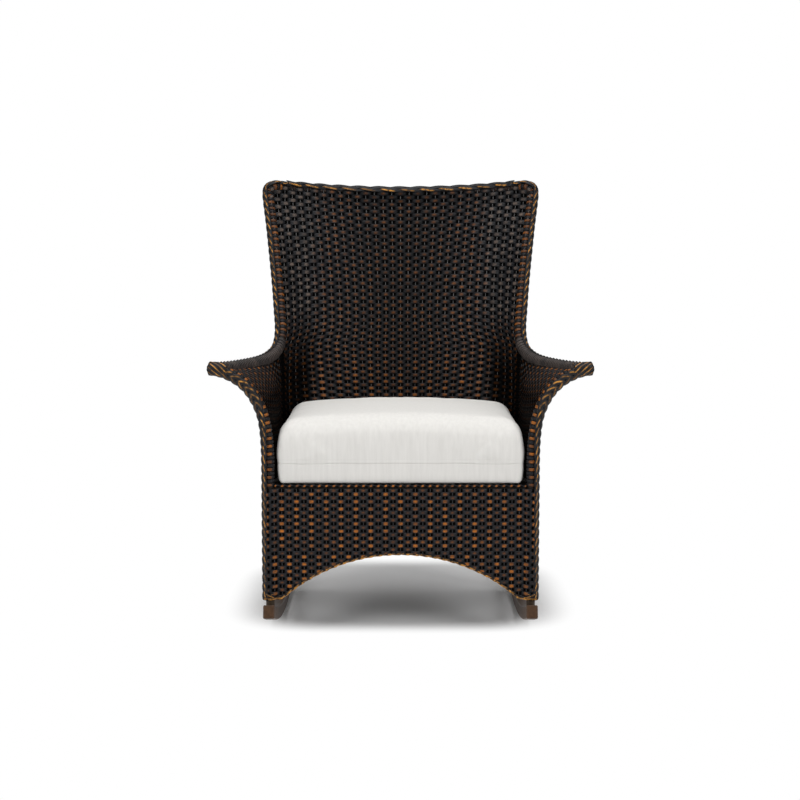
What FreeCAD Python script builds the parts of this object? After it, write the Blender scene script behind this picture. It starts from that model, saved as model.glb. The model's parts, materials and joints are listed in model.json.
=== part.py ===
"""Woven lounge rocker: rocker boards, bent tube frame, woven sheets, wraps and braids, webbing and cushion.

Millimetres. Y runs to the back and Z up. Left and right are those of the front view, with X to the right.
The origin is on the floor, under the middle of the chair. A depth is measured backwards from the front plane
of the apron. The chair is symmetric, so curves are described for the right side and mirrored for the left.
"""

import FreeCAD, Part
import math
import os

from FreeCAD import Vector

# Overall layout
front_plane_y = -370.0
post_x = 303.5
post_depth = 13.0
arm_tip_x = 428.0
arm_tip_z = 626.0
arm_z = 620.0
waist_x = 305.0
waist_depth = 455.0
waist_z = 690.0
corner_x = 346.0
corner_depth = 603.0
corner_z = 1050.0
corner_radius = 34.0
top_middle_depth = 750.0
top_middle_z = 1049.0
top_plan_radius = 459.0
top_end_x = 305.0
top_tilt_share = 0.1

# Tubes, rods, wraps and braids
tube_radius = 10.0
tube_wall = 1.6
wrap_radius = 13.0
braid_radius = 18.0
braid_half_width_deg = 35.0
rod_radius = 2.5
trim_radius = 4.5
bead_radius = 4.0
sheet_thickness = 8.0
fit_gap = 0.3
tip_close = 3.0
braid_end_gap = 1.5

# Skirts, arches and legs
skirt_bottom_z = 87.0
arch_top_z = 191.0
arch_half_span = 276.0
side_arch_top_z = 160.0
side_arch_end = 20.0
rear_arch_half_span = 235.0
flare_start_z = 401.0
leg_foot_x = 302.0
leg_foot_depth = 480.0
leg_head_x = 309.0
leg_head_depth = 425.0
leg_head_z = 652.0
back_foot_z = 346.0
back_foot_depth = 502.0

# Seat frame and webbing
deck_top_z = 358.7
strap_thickness = 2.5
strap_width = 50.0
strap_overhang = 8.0
straps_across_count = 4
straps_along_count = 5
straps_along_pitch = 100.0
straps_across_first_depth = 90.0
straps_across_pitch = 100.0

# Rocker boards and their fastenings
rocker_x = 301.0
rocker_width = 26.0
rocker_thickness = 31.0
rocker_radius = 1400.0
rocker_contact_y = -34.0
rocker_front_reach = 406.0
rocker_rear_reach = 474.0
rocker_edge_radius = 3.0
plug_length = 30.0
bolt_radius = 3.0
bolt_head_radius = 6.5
bolt_head_height = 4.0
bolt_recess_depth = 8.0
bolt_grip_in_plug = 24.0

# Cushion
cushion_half_width = 289.5
cushion_bottom_z = 359.0
cushion_top_z = 516.0
cushion_front_depth = 10.0
cushion_rear_depth = 496.0
cushion_seam_z = 405.0
cushion_seam_draw = 2.5
cushion_base_draw = 5.0
cushion_shoulder = 34.0
cushion_crown = 12.0
cushion_top_round = 46.0
cushion_base_round = 9.0
cushion_front_corner = 12.0
cushion_rear_corner = 62.0
cover_thickness = 2.0
seam_groove_width = 3.0
seam_groove_depth = 1.5

# Arm, as hand-chosen shares: place between the tip (1, 0) and the waist (0, 1), height between arm and waist.
arm_shares = (
    (0.675, 0.33, 0.0),
    (0.333, 0.659, 0.0),
    (0.146, 0.835, 0.143),
    (0.033, 0.934, 0.457),
    (0.0, 1.0, 1.0),
)
# Wing: place and height between the waist (0, 0, 0) and the corner (1, 1, 1).
wing_shares = (
    (0.122, 0.203, 0.139),
    (0.317, 0.439, 0.35),
    (0.707, 0.764, 0.711),
    (0.976, 0.939, 0.931),
)
# Directions that the rim's braid faces, one for each key point of the rim from the tip to the top.
rim_facing_shares = (
    (0.8, 0.0, 0.6),
    (0.8, 0.0, 0.6),
    (0.8, -0.1, 0.6),
    (0.75, -0.35, 0.5),
    (0.7, -0.6, 0.3),
    (0.65, -0.75, 0.1),
    (0.6, -0.8, 0.0),
    (0.6, -0.8, 0.0),
    (0.6, -0.75, 0.2),
    (0.6, -0.65, 0.35),
    (0.6, -0.55, 0.6),
    (0.4, -0.5, 0.8),
    (0.1, -0.5, 0.87),
)
front_facing_shares = (0.42, -0.91, 0.0)
top_facing_shares = (0.0, -0.5, 0.87)
# Back, in plan: height share, then how far out the two inner handles lie and how far back the outer one lies.
plan_shares = (
    (0.0, 0.77, 0.95, 0.96),
    (0.22, 0.72, 0.96, 0.87),
    (0.49, 0.72, 0.85, 0.63),
    (1.0, 0.49, 0.81, 0.33),
)
flare_handle_shares = (0.555, 0.213, 0.098)
rear_rail_shares = (0.7, 0.86)
top_spread_share = 0.6
corner_cut_share = 0.35
corner_drop_share = 0.1

# Fineness of the curves
rim_steps = 36
post_steps = 16
top_steps = 16
arch_steps = 24
back_lower_sections = 4
back_upper_sections = 10
side_sections = 9
sheet_points = 13
cushion_end_steps = 7


def place(x, depth, z):
    """A point from its distance to the middle, its depth behind the front plane and its height."""
    return Vector(x, front_plane_y + depth, z)


def blend(a, b, share):
    return a + (b - a) * share


def through(keys, t):
    """A smooth curve through key points, where t runs from zero to the number of spans."""
    spans = len(keys) - 1
    i = min(max(int(math.floor(t)), 0), spans - 1)
    u = t - i
    before = keys[max(i - 1, 0)]
    after = keys[min(i + 2, spans)]
    point = []
    for a, b, c, d in zip(before, keys[i], keys[i + 1], after):
        rise_b = (c - a) / 2 if i > 0 else c - b
        rise_c = (d - b) / 2 if i < spans - 1 else c - b
        cube = 2 * b - 2 * c + rise_b + rise_c
        square = 3 * (c - b) - 2 * rise_b - rise_c
        point.append(((cube * u + square) * u + rise_b) * u + b)
    return tuple(point)


def bezier(p0, p1, p2, p3, t):
    s = 1 - t
    return tuple(
        s * s * s * a + 3 * s * s * t * b + 3 * s * t * t * c + t * t * t * d
        for a, b, c, d in zip(p0, p1, p2, p3)
    )


def solve(high, low, wanted):
    """The share between low and high at which wanted turns from true to false."""
    for _ in range(40):
        middle = (low + high) / 2
        if wanted(middle):
            low = middle
        else:
            high = middle
    return low


def shares_up_to(count):
    return [i / count for i in range(count + 1)]


# Curves of the right side


def top_point(x):
    """Middle of the top rail at a distance from the chair's middle."""
    depth = top_middle_depth - top_plan_radius + math.sqrt(top_plan_radius**2 - x**2)
    return (x, depth, top_middle_z + top_tilt_share * (top_middle_depth - depth))


def rim_keys():
    """Key points of the rim: arm tip, arm, waist, wing, corner, end of the top rail."""
    keys = [(arm_tip_x, 0.0, arm_tip_z)]
    for across, back, up in arm_shares:
        x = blend(waist_x, arm_tip_x, across)
        keys.append((x, waist_depth * back, blend(arm_z, waist_z, up)))
    for across, back, up in wing_shares:
        x = blend(waist_x, corner_x, across)
        depth = blend(waist_depth, corner_depth, back)
        keys.append((x, depth, blend(waist_z, corner_z, up)))
    keys.append((corner_x, corner_depth, corner_z))
    x, depth, z = top_point(corner_x - corner_radius * corner_cut_share)
    keys.append((x, depth, z - corner_radius * corner_drop_share))
    keys.append(top_point(top_end_x))
    return keys


RIM = rim_keys()
leg_meets_rim = 4


def rim_point(t):
    return through(RIM, t)


def rim_at_height(z):
    """Point of the wing's rim at a height."""
    last = len(RIM) - 1
    t = solve(last, leg_meets_rim, lambda s: rim_point(s)[2] < z)
    return rim_point(t)


def rim_at_depth(depth):
    """Point of the arm's rim at a depth."""
    t = solve(leg_meets_rim + 1, 0.0, lambda s: rim_point(s)[1] < depth)
    return rim_point(t)


def leg_point(z):
    """Middle of the rear leg at a height."""
    share = (z - rocker_thickness) / (leg_head_z - rocker_thickness)
    x = blend(leg_foot_x, leg_head_x, share)
    return (x, blend(leg_foot_depth, leg_head_depth, share), z)


def flare(x, top):
    """The four handles of the curve from the straight side up to the arm's rim."""
    rise = top[2] - flare_start_z
    reach = top[0] - x
    up, out, drop = flare_handle_shares
    start = (x, flare_start_z)
    return start, (x, flare_start_z + up * rise), (x + out * reach, top[2] - drop * rise), (top[0], top[2])


def post_point(share):
    """Middle of the front post above its straight part."""
    x, z = bezier(*flare(post_x, RIM[0]), share)
    return (x, post_depth, z)


def plan_table(height_share):
    """Handles of the back's plan curve at a share of the back's height."""
    rows = [row[1:] for row in plan_shares]
    heights = [row[0] for row in plan_shares]
    i = max(k for k in range(len(rows) - 1) if heights[k] <= max(height_share, 0.0))
    t = i + (height_share - heights[i]) / (heights[i + 1] - heights[i])
    return through(rows, t)


def plan_curve(edge, middle_depth, middle_z, table):
    """The four handles of one half of a section of the back, from the middle to the edge."""
    near, far, back = table
    tilt = (edge[2] - middle_z) / (middle_depth - edge[1])
    far_depth = blend(edge[1], middle_depth, back)
    start = (0.0, middle_depth, middle_z)
    first = (near * edge[0], middle_depth, middle_z)
    second = (far * edge[0], far_depth, middle_z + tilt * (middle_depth - far_depth))
    return start, first, second, edge


def back_curve(edge_z):
    """Section of the back through the point of its edge at a height."""
    edge = leg_point(edge_z) if edge_z < leg_head_z else rim_at_height(edge_z)
    lean = (top_middle_depth - back_foot_depth) / (top_middle_z - back_foot_z)
    rise = (edge_z - back_foot_z) / (top_middle_z - back_foot_z)
    tilt = top_tilt_share * rise * rise
    foot = back_foot_depth - lean * back_foot_z
    middle_z = (edge[2] + tilt * (edge[1] - foot)) / (1 + tilt * lean)
    middle_depth = foot + lean * middle_z
    return plan_curve(edge, middle_depth, middle_z, plan_table(rise))


def skirt_curve(z):
    """Section of the rear skirt at a height, as wide as the legs are there."""
    return plan_curve(leg_point(z), back_foot_depth, z, plan_shares[0][1:])


def arch_height(x, half_span, bottom, top):
    """Height of a round arch at a distance from its middle, flat beyond its ends."""
    if abs(x) >= half_span:
        return bottom
    rise = top - bottom
    radius = (half_span**2 + rise**2) / (2 * rise)
    return top - radius + math.sqrt(radius**2 - x**2)


# Solids that follow the curves


def framed(points, facings):
    """Each point with two directions square to the run: towards its facing, and across it."""
    rows = []
    for i, point in enumerate(points):
        run = points[min(i + 1, len(points) - 1)] - points[max(i - 1, 0)]
        run.normalize()
        facing = Vector(facings[i])
        facing = facing - run * facing.dot(run)
        facing.normalize()
        rows.append((point, facing, run.cross(facing)))
    return rows


def spoke(row, radius, angle_deg):
    centre, facing, across = row
    angle = math.radians(angle_deg)
    return centre + facing * (radius * math.cos(angle)) + across * (radius * math.sin(angle))


def arc(row, radius, start_deg, end_deg):
    middle_deg = (start_deg + end_deg) / 2
    ends = [spoke(row, radius, a) for a in (start_deg, middle_deg, end_deg)]
    return Part.Arc(*ends).toShape()


def rod(rows, radius):
    """A round bar through the rows."""
    rings = []
    for row in rows:
        arcs = [arc(row, radius, a, a + 120) for a in (0, 120, 240)]
        rings.append(Part.Wire(arcs))
    return Part.makeLoft(rings, True, True)


def tube(rows, radius, bore_radius):
    return rod(rows, radius).cut(rod(rows, bore_radius))


def band(rows, inner, outer, half_deg):
    """A strip that lies on a round bar and covers half_deg to each side of its facing."""
    wires = []
    for row in rows:
        inside = arc(row, inner, -half_deg, half_deg)
        outside = arc(row, outer, half_deg, -half_deg)
        first = Part.makeLine(spoke(row, inner, half_deg), spoke(row, outer, half_deg))
        last = Part.makeLine(spoke(row, outer, -half_deg), spoke(row, inner, -half_deg))
        wires.append(Part.Wire([inside, first, outside, last]))
    return Part.makeLoft(wires, True, True)


def smooth_edge(points):
    curve = Part.BSplineCurve()
    curve.interpolate(points)
    return curve.toShape()


def strip_wire(points, normal):
    """Closed outline of a sheet's cut edge, half its thickness to each side of the points."""
    sides = ([], [])
    for i, point in enumerate(points):
        run = points[min(i + 1, len(points) - 1)] - points[max(i - 1, 0)]
        across = run.cross(normal)
        across.normalize()
        for side, sign in zip(sides, (1, -1)):
            side.append(point + across * (sign * sheet_thickness / 2))
    sides[1].reverse()
    ends = [
        Part.makeLine(sides[0][-1], sides[1][0]),
        Part.makeLine(sides[1][-1], sides[0][0]),
    ]
    return Part.Wire([smooth_edge(sides[0]), ends[0], smooth_edge(sides[1]), ends[1]])


def sheet(sections):
    """A woven sheet through flat sections, each a list of points along its middle."""
    wires = []
    for points in sections:
        half = len(points) // 2
        normal = (points[half] - points[0]).cross(points[-1] - points[0])
        wires.append(strip_wire(points, normal))
    return Part.makeLoft(wires, True, True)


def mirrored(shape):
    return shape.mirror(Vector(0, 0, 0), Vector(1, 0, 0))


def without(shape, *others):
    for other in others:
        shape = shape.cut(other)
    return shape


def main_body(shape):
    """The largest solid, free of the crumbs that a cut can leave at its end."""
    return max(shape.Solids, key=lambda solid: solid.Volume)


def bar_between(start, end, radius):
    run = end - start
    return Part.makeCylinder(radius, run.Length, start, run)


# Frame tubes


def rim_rows(first_depth):
    """Rows along the right rim, closer together where it turns."""
    last = len(RIM) - 1
    points = []
    facings = []
    for share in shares_up_to(rim_steps):
        t = share * last
        points.append(place(*rim_point(t)))
        facings.append(through(rim_facing_shares, t))
    points[0] = points[0] + Vector(0, first_depth, 0)
    return framed(points, facings)


def post_rows(foot_z):
    """Rows up the right front post, from a height to the arm tip."""
    flare_points = [post_point(share) for share in shares_up_to(post_steps)]
    points = [place(post_x, post_depth, foot_z)] + [place(*p) for p in flare_points]
    return framed(points, [front_facing_shares] * len(points))


def leg_rows():
    """Rows up the right rear leg, from below its seat on the rocker to the rim."""
    foot = leg_point(0.0)
    points = [place(*foot), place(*leg_point(leg_head_z))]
    return framed(points, [(1.0, 0.0, 0.0)] * len(points))


def top_rows(end_gap):
    """Rows along the top, which stop short by a gap at each end."""
    spots = [blend(-top_end_x, top_end_x, share) for share in shares_up_to(top_steps)]
    points = [place(*top_point(x)) for x in spots]
    for end, inner in ((0, 1), (-1, -2)):
        run = points[inner] - points[end]
        points[end] = points[end] + run * (end_gap / run.Length)
    return framed(points, [top_facing_shares] * len(points))


def rear_rail_rows():
    """Rows along the rear seat rail, bent to run inside the back."""
    inset = sheet_thickness / 2 + fit_gap + tube_radius
    leg = leg_point(rail_z(True))
    middle_depth = back_foot_depth - inset
    near, far = rear_rail_shares
    end = (side_rail_x(), leg[1])
    handles = ((0.0, middle_depth), (near * leg[0], middle_depth), (far * leg[0], middle_depth), end)
    half = [bezier(*handles, share) for share in shares_up_to(top_steps)]
    points = [place(-x, depth, rail_z(True)) for x, depth in reversed(half[1:])]
    points += [place(x, depth, rail_z(True)) for x, depth in half]
    return framed(points, [(0.0, 0.0, 1.0)] * len(points))


def rail_z(upper):
    """Height of a seat rail: the front and rear ones carry the upper layer of straps."""
    top = deck_top_z - strap_thickness
    return top - tube_radius if upper else top - strap_thickness - tube_radius


bore_radius = tube_radius - tube_wall
rim_bar = rod(rim_rows(tip_close), tube_radius)
rim_cover = rod(rim_rows(0.0), wrap_radius)
post_bar = rod(post_rows(0.0), tube_radius)
leg_bar = rod(leg_rows(), tube_radius)
rim_pair = (rim_bar, mirrored(rim_bar))
cover_pair = (rim_cover, mirrored(rim_cover))
post_pair = (post_bar, mirrored(post_bar))
leg_pair = (leg_bar, mirrored(leg_bar))
post_cover = rod(post_rows(skirt_bottom_z), wrap_radius)
post_cover_pair = (post_cover, mirrored(post_cover))


def room_around(rows, radius):
    """A bar with a little room round it, and its mirror image, to cut the woven sheets clear of it."""
    bar = rod(rows, radius + fit_gap)
    return bar, mirrored(bar)


def make_rocker():
    """Right rocker board: a bent strip with eased edges and a recessed bolt hole under each leg."""
    ahead = -math.degrees(math.asin(rocker_front_reach / rocker_radius))
    behind = math.degrees(math.asin(rocker_rear_reach / rocker_radius))
    centre = Vector(rocker_x - rocker_width / 2, rocker_contact_y, rocker_radius)
    down = (centre, Vector(0, 0, -1), Vector(0, 1, 0))
    inner_radius = rocker_radius - rocker_thickness
    lower = arc(down, rocker_radius, ahead, behind)
    upper = arc(down, inner_radius, behind, ahead)
    tail = Part.makeLine(spoke(down, rocker_radius, behind), spoke(down, inner_radius, behind))
    nose = Part.makeLine(spoke(down, inner_radius, ahead), spoke(down, rocker_radius, ahead))
    face = Part.Face(Part.Wire([lower, tail, upper, nose]))
    board = face.extrude(Vector(rocker_width, 0, 0))
    return board.makeFillet(rocker_edge_radius, board.Edges)


def board_height(y):
    """Height of the rocker's underside."""
    return rocker_radius - math.sqrt(rocker_radius**2 - (y - rocker_contact_y) ** 2)


def leg_axes():
    """Foot positions of the right front and rear legs, on the rocker's top."""
    rear = leg_point(rocker_thickness)
    return [(post_x, front_plane_y + post_depth), (rear[0], front_plane_y + rear[1])]


def bolt_seat(x, y):
    """Height at which the bolt's head bears, up inside the rocker."""
    return board_height(y) + bolt_recess_depth


def make_bolts():
    bolts = []
    for x, y in leg_axes():
        seat = Vector(x, y, bolt_seat(x, y))
        shank_length = rocker_thickness - bolt_recess_depth + bolt_grip_in_plug
        head_base = seat - Vector(0, 0, bolt_head_height)
        head = Part.makeCylinder(bolt_head_radius, bolt_head_height, head_base)
        bolts.append(head.fuse(Part.makeCylinder(bolt_radius, shank_length, seat)))
    return bolts


def make_plugs(rocker):
    """Round plugs in the right legs' ends, cut to the rocker below and bored for the bolt."""
    plugs = []
    for (x, y), rows in zip(leg_axes(), (post_rows(0.0), leg_rows())):
        top = board_height(y) + rocker_thickness + plug_length
        block = rod(rows, bore_radius)
        room = Part.makeBox(4 * tube_radius, 4 * tube_radius, top)
        room.translate(Vector(x - 2 * tube_radius, y - 2 * tube_radius, 0))
        plugs.append(block.common(room))
    return plugs


def make_board_room():
    """Everything under the top of the right rocker, to cut the legs' feet to its curve."""
    radius = rocker_radius - rocker_thickness
    width = 4 * rocker_width
    left = rocker_x - width / 2
    block = Part.makeBox(width, rocker_front_reach + rocker_rear_reach, rocker_radius / 2)
    block.translate(Vector(left, rocker_contact_y - rocker_front_reach, -rocker_thickness))
    axis_start = Vector(left, rocker_contact_y, rocker_radius)
    return block.cut(Part.makeCylinder(radius, width, axis_start, Vector(1, 0, 0)))


def side_rail_x():
    """The side rails lie just inside the woven sides."""
    return post_x - sheet_thickness / 2 - fit_gap - tube_radius


def make_side_rail(front_bar):
    """Right side seat rail, inside the woven side, from the front rail to the rear leg."""
    x = side_rail_x()
    leg = leg_point(rail_z(False))
    start = place(x, front_rail_depth(), rail_z(False))
    end = place(x, leg[1], rail_z(False))
    outer = bar_between(start, end, tube_radius)
    inner = bar_between(start, end, bore_radius)
    return outer, without(outer.cut(inner), front_bar, *post_pair, *leg_pair)


def front_rail_depth():
    """The front rail lies just behind the woven apron."""
    return apron_depth() + sheet_thickness / 2 + fit_gap + tube_radius


def apron_depth():
    return wrap_radius - sheet_thickness / 2


def make_front_rail():
    half = post_x - sheet_thickness / 2 - fit_gap
    start = place(-half, front_rail_depth(), rail_z(True))
    end = place(half, front_rail_depth(), rail_z(True))
    outer = bar_between(start, end, tube_radius)
    return outer, without(outer.cut(bar_between(start, end, bore_radius)), *post_pair)


# Arches and their trims


def front_arch_rows():
    """Rows along the front arch, from one front post to the other."""
    edge = post_x - tube_radius
    points = []
    for share in shares_up_to(arch_steps):
        x = blend(-edge, edge, share)
        points.append(place(x, apron_depth(), trim_radius + front_arch_height(x)))
    return framed(points, [(0.0, -1.0, 0.0)] * len(points))


def front_arch_height(x):
    return arch_height(x, arch_half_span, skirt_bottom_z, arch_top_z)


def side_arch_span():
    """Middle depth and half span of the side arch, between the front post and the rear leg."""
    start = post_depth + wrap_radius + side_arch_end
    end = leg_point(skirt_bottom_z)[1] - tube_radius - side_arch_end
    return (start + end) / 2, (end - start) / 2


def side_arch_height(depth):
    middle, half = side_arch_span()
    return arch_height(depth - middle, half, skirt_bottom_z, side_arch_top_z)


def side_arch_rows():
    start = post_depth + tube_radius
    end = leg_point(skirt_bottom_z)[1]
    points = []
    for share in shares_up_to(arch_steps):
        depth = blend(start, end, share)
        x = blend(post_x, leg_foot_x, share)
        points.append(place(x, depth, trim_radius + side_arch_height(depth)))
    return framed(points, [(1.0, 0.0, 0.0)] * len(points))


def rear_arch_height(x):
    return arch_height(x, rear_arch_half_span, skirt_bottom_z, arch_top_z)


def rear_arch_rows():
    """Rows along the rear arch, from one rear leg round the corners to the other."""
    points = []
    handles = skirt_curve(skirt_bottom_z)
    for share in [blend(-1.0, 1.0, s) for s in shares_up_to(2 * arch_steps)]:
        x, depth, _ = bezier(*handles, abs(share))
        x = math.copysign(x, share)
        points.append(place(x, depth, trim_radius + rear_arch_height(x)))
    return framed(points, [(0.0, 1.0, 0.0)] * len(points))


def edge_share(handles, keep_off):
    """How far along a section its sheet may run, so as to end at a distance from the edge's middle."""
    edge = Vector(*handles[3])

    def is_clear(t):
        return (Vector(*bezier(*handles, t)) - edge).Length > keep_off

    return solve(1.0, 0.5, is_clear)


# Woven sheets


def back_section(edge_z):
    """Points across the back, from one edge wrap to the other."""
    handles = back_curve(edge_z)
    bar = tube_radius if edge_z < leg_head_z else wrap_radius
    last = edge_share(handles, bar + fit_gap)
    half = [bezier(*handles, last * share) for share in shares_up_to(sheet_points)]
    points = [place(-x, depth, z) for x, depth, z in reversed(half[1:])]
    return points + [place(*p) for p in half]


def back_top_section():
    """Points across the back just under the wrap of the top rail."""
    keep_off = wrap_radius + fit_gap
    lean = (top_middle_depth - back_foot_depth) / (top_middle_z - back_foot_z)
    down = Vector(0, -lean, -1)
    down.normalize()
    half = corner_x - wrap_radius - corner_radius * corner_drop_share
    points = []
    for share in shares_up_to(2 * sheet_points):
        x = half * math.sin(blend(-math.pi / 2, math.pi / 2, share) * top_spread_share)
        x = x / math.sin(math.pi / 2 * top_spread_share)
        points.append(place(*top_point(x)) + down * keep_off)
    return points


def make_back():
    lower = [blend(back_foot_z, leg_head_z, share) for share in shares_up_to(back_lower_sections)]
    last_z = corner_z - corner_radius - wrap_radius
    upper = [blend(leg_head_z, last_z, share) for share in shares_up_to(back_upper_sections)]
    return sheet([back_section(z) for z in lower + upper[1:]] + [back_top_section()])


def make_rear_skirt(arch_cut):
    sections = []
    for z in (skirt_bottom_z, back_foot_z - fit_gap):
        handles = skirt_curve(z)
        last = edge_share(handles, tube_radius + fit_gap)
        half = [bezier(*handles, last * share) for share in shares_up_to(sheet_points)]
        points = [place(-x, depth, z) for x, depth, _ in reversed(half[1:])]
        sections.append(points + [place(x, depth, z) for x, depth, _ in half])
    return sheet(sections).cut(arch_cut)


def side_section(share):
    """Points up the right woven side at a share of the way from the front post to the rear leg."""

    def spot(z):
        leg_x, leg_depth, _ = leg_point(z)
        return blend(post_x, leg_x, share), blend(post_depth, leg_depth, share)

    reach = blend(post_depth, leg_head_depth, share)
    top = rim_at_depth(reach)
    handles = flare(spot(flare_start_z)[0], top)

    def curve(t):
        x, z = bezier(*handles, t)
        return (x, spot(z)[1], z)

    rim = Vector(*top)
    keep_off = wrap_radius + fit_gap
    last = solve(1.0, 0.5, lambda t: (Vector(*curve(t)) - rim).Length > keep_off)
    lower = [(spot(z)[0], spot(z)[1], z) for z in (skirt_bottom_z, (skirt_bottom_z + flare_start_z) / 2)]
    upper = [curve(last * s) for s in shares_up_to(sheet_points)]
    return [place(*p) for p in lower + upper]


def make_side(arch_cut):
    run = leg_point(flare_start_z)[1] - post_depth
    first = (wrap_radius + fit_gap) / run
    last = 1 - (tube_radius + fit_gap) / run
    shares = [blend(first, last, s) for s in shares_up_to(side_sections)]
    return sheet([side_section(s) for s in shares]).cut(arch_cut)


def arch_cutter(height_at, ends, steps, across, offset, reach):
    """A block with the outline of an arch: what lies under it is cut out of the woven sheets."""
    spots = [blend(ends[0], ends[1], s) for s in shares_up_to(steps)]
    heights = [height_at(s) + offset for s in spots]
    outline = [(spots[0], 0.0)] + list(zip(spots, heights)) + [(spots[-1], 0.0)]
    if across:
        points = [Vector(s, 0, z) for s, z in outline]
        depth = Vector(0, reach, 0)
    else:
        points = [Vector(0, front_plane_y + s, z) for s, z in outline]
        depth = Vector(reach, 0, 0)
    return Part.Face(Part.makePolygon(points + points[:1])).extrude(depth)


def make_apron():
    """Flat woven apron between the front wraps, with the arch cut out below."""
    half = post_x - wrap_radius - fit_gap
    top = bead_z() - bead_radius - fit_gap
    block = Part.makeBox(2 * half, sheet_thickness, top - skirt_bottom_z)
    block.translate(Vector(-half, front_plane_y + apron_depth() - sheet_thickness / 2, skirt_bottom_z))
    ends = (-post_x, post_x)
    lift = 2 * trim_radius + fit_gap
    cutter = arch_cutter(front_arch_height, ends, 2 * arch_steps, True, lift, 2 * sheet_thickness)
    cutter.translate(Vector(0, front_plane_y + apron_depth() - sheet_thickness, 0))
    return block.cut(cutter)


def bead_z():
    """Middle of the bead along the apron's top, just under the cushion."""
    return deck_top_z - fit_gap - bead_radius


# Seat


def make_straps_across():
    straps = []
    half = side_rail_x() + strap_overhang
    z = deck_top_z - 2 * strap_thickness
    for i in range(straps_across_count):
        depth = straps_across_first_depth + i * straps_across_pitch - strap_width / 2
        strap = Part.makeBox(2 * half, strap_width, strap_thickness)
        strap.translate(place(-half, depth, z))
        straps.append(strap)
    return Part.makeCompound(straps)


def make_straps_along():
    straps = []
    start = front_rail_depth() - strap_overhang
    end = back_foot_depth - sheet_thickness / 2 - fit_gap - tube_radius
    for i in range(straps_along_count):
        x = (i - (straps_along_count - 1) / 2) * straps_along_pitch - strap_width / 2
        strap = Part.makeBox(strap_width, end - start, strap_thickness)
        strap.translate(place(x, start, deck_top_z - strap_thickness))
        straps.append(strap)
    return Part.makeCompound(straps)


def rounding(distance, radius):
    """How far a rounded edge has fallen away at a distance in from its end."""
    short = max(radius - distance, 0.0)
    return radius - math.sqrt(radius**2 - short**2)


def cushion_depths():
    """Depths of the cushion's sections, close together where its ends are rounded."""
    quarter = [1 - math.cos(math.pi / 2 * s) for s in shares_up_to(cushion_end_steps)]
    front = [cushion_front_depth + cushion_top_round * s for s in quarter]
    rear = [cushion_rear_depth - cushion_rear_corner * s for s in reversed(quarter)]
    return front + [(cushion_front_depth + cushion_rear_depth) / 2] + rear


def cushion_wire(depth, inset):
    """Section of the cushion across the chair: flat base, drawn-in seam, bulging side and crowned top."""
    from_front = depth - cushion_front_depth
    from_rear = cushion_rear_depth - depth
    fallen = rounding(from_front, cushion_top_round) + rounding(from_rear, cushion_top_round)
    raised = rounding(min(from_front, from_rear), cushion_base_round)
    drawn = rounding(from_front, cushion_front_corner) + rounding(from_rear, cushion_rear_corner)
    y = front_plane_y + blend(depth, (cushion_front_depth + cushion_rear_depth) / 2, inset_share(inset))
    half = cushion_half_width - drawn - inset
    base = cushion_bottom_z + raised + inset
    top = cushion_top_z - fallen - inset
    seam = cushion_seam_z
    shoulder = min(cushion_shoulder, (top - cushion_crown - seam) / 2)
    side_top = top - cushion_crown - shoulder
    diagonal = math.sqrt(0.5)

    def v(x, z):
        return Vector(x, y, z)

    def side(sign):
        foot = v(sign * (half - cushion_base_draw), base)
        low = v(sign * (half - cushion_seam_draw), (base + seam) / 2)
        waist = v(sign * (half - cushion_seam_draw), seam)
        belly = v(sign * half, (seam + side_top) / 2)
        brow = v(sign * (half - cushion_seam_draw), side_top)
        half_turn = v(sign * (brow.x * sign - shoulder * (1 - diagonal)), side_top + shoulder * diagonal)
        rim = v(sign * (half - cushion_seam_draw - shoulder), side_top + shoulder)
        return [(foot, low, waist), (waist, belly, brow), (brow, half_turn, rim)]

    right = side(1)
    left = [tuple(reversed(points)) for points in reversed(side(-1))]
    base_line = Part.makeLine(left[-1][2], right[0][0])
    crown = Part.Arc(right[-1][2], v(0, top), left[0][0]).toShape()
    arcs = [Part.Arc(*points).toShape() for points in right]
    arcs_back = [Part.Arc(*points).toShape() for points in left]
    return Part.Wire([base_line] + arcs + [crown] + arcs_back)


def inset_share(inset):
    """Share by which the sections close up towards the middle for a body that lies inside."""
    return 2 * inset / (cushion_rear_depth - cushion_front_depth)


def cushion_body(inset):
    return Part.makeLoft([cushion_wire(depth, inset) for depth in cushion_depths()], True, True)


def make_cushion():
    groove = Part.makeBox(2 * cushion_half_width, seam_groove_depth, seam_groove_width)
    groove.translate(place(-cushion_half_width, cushion_front_depth, cushion_seam_z))
    cover = cushion_body(0.0).cut(cushion_body(cover_thickness)).cut(groove)
    return cover, cushion_body(cover_thickness + fit_gap)


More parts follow.
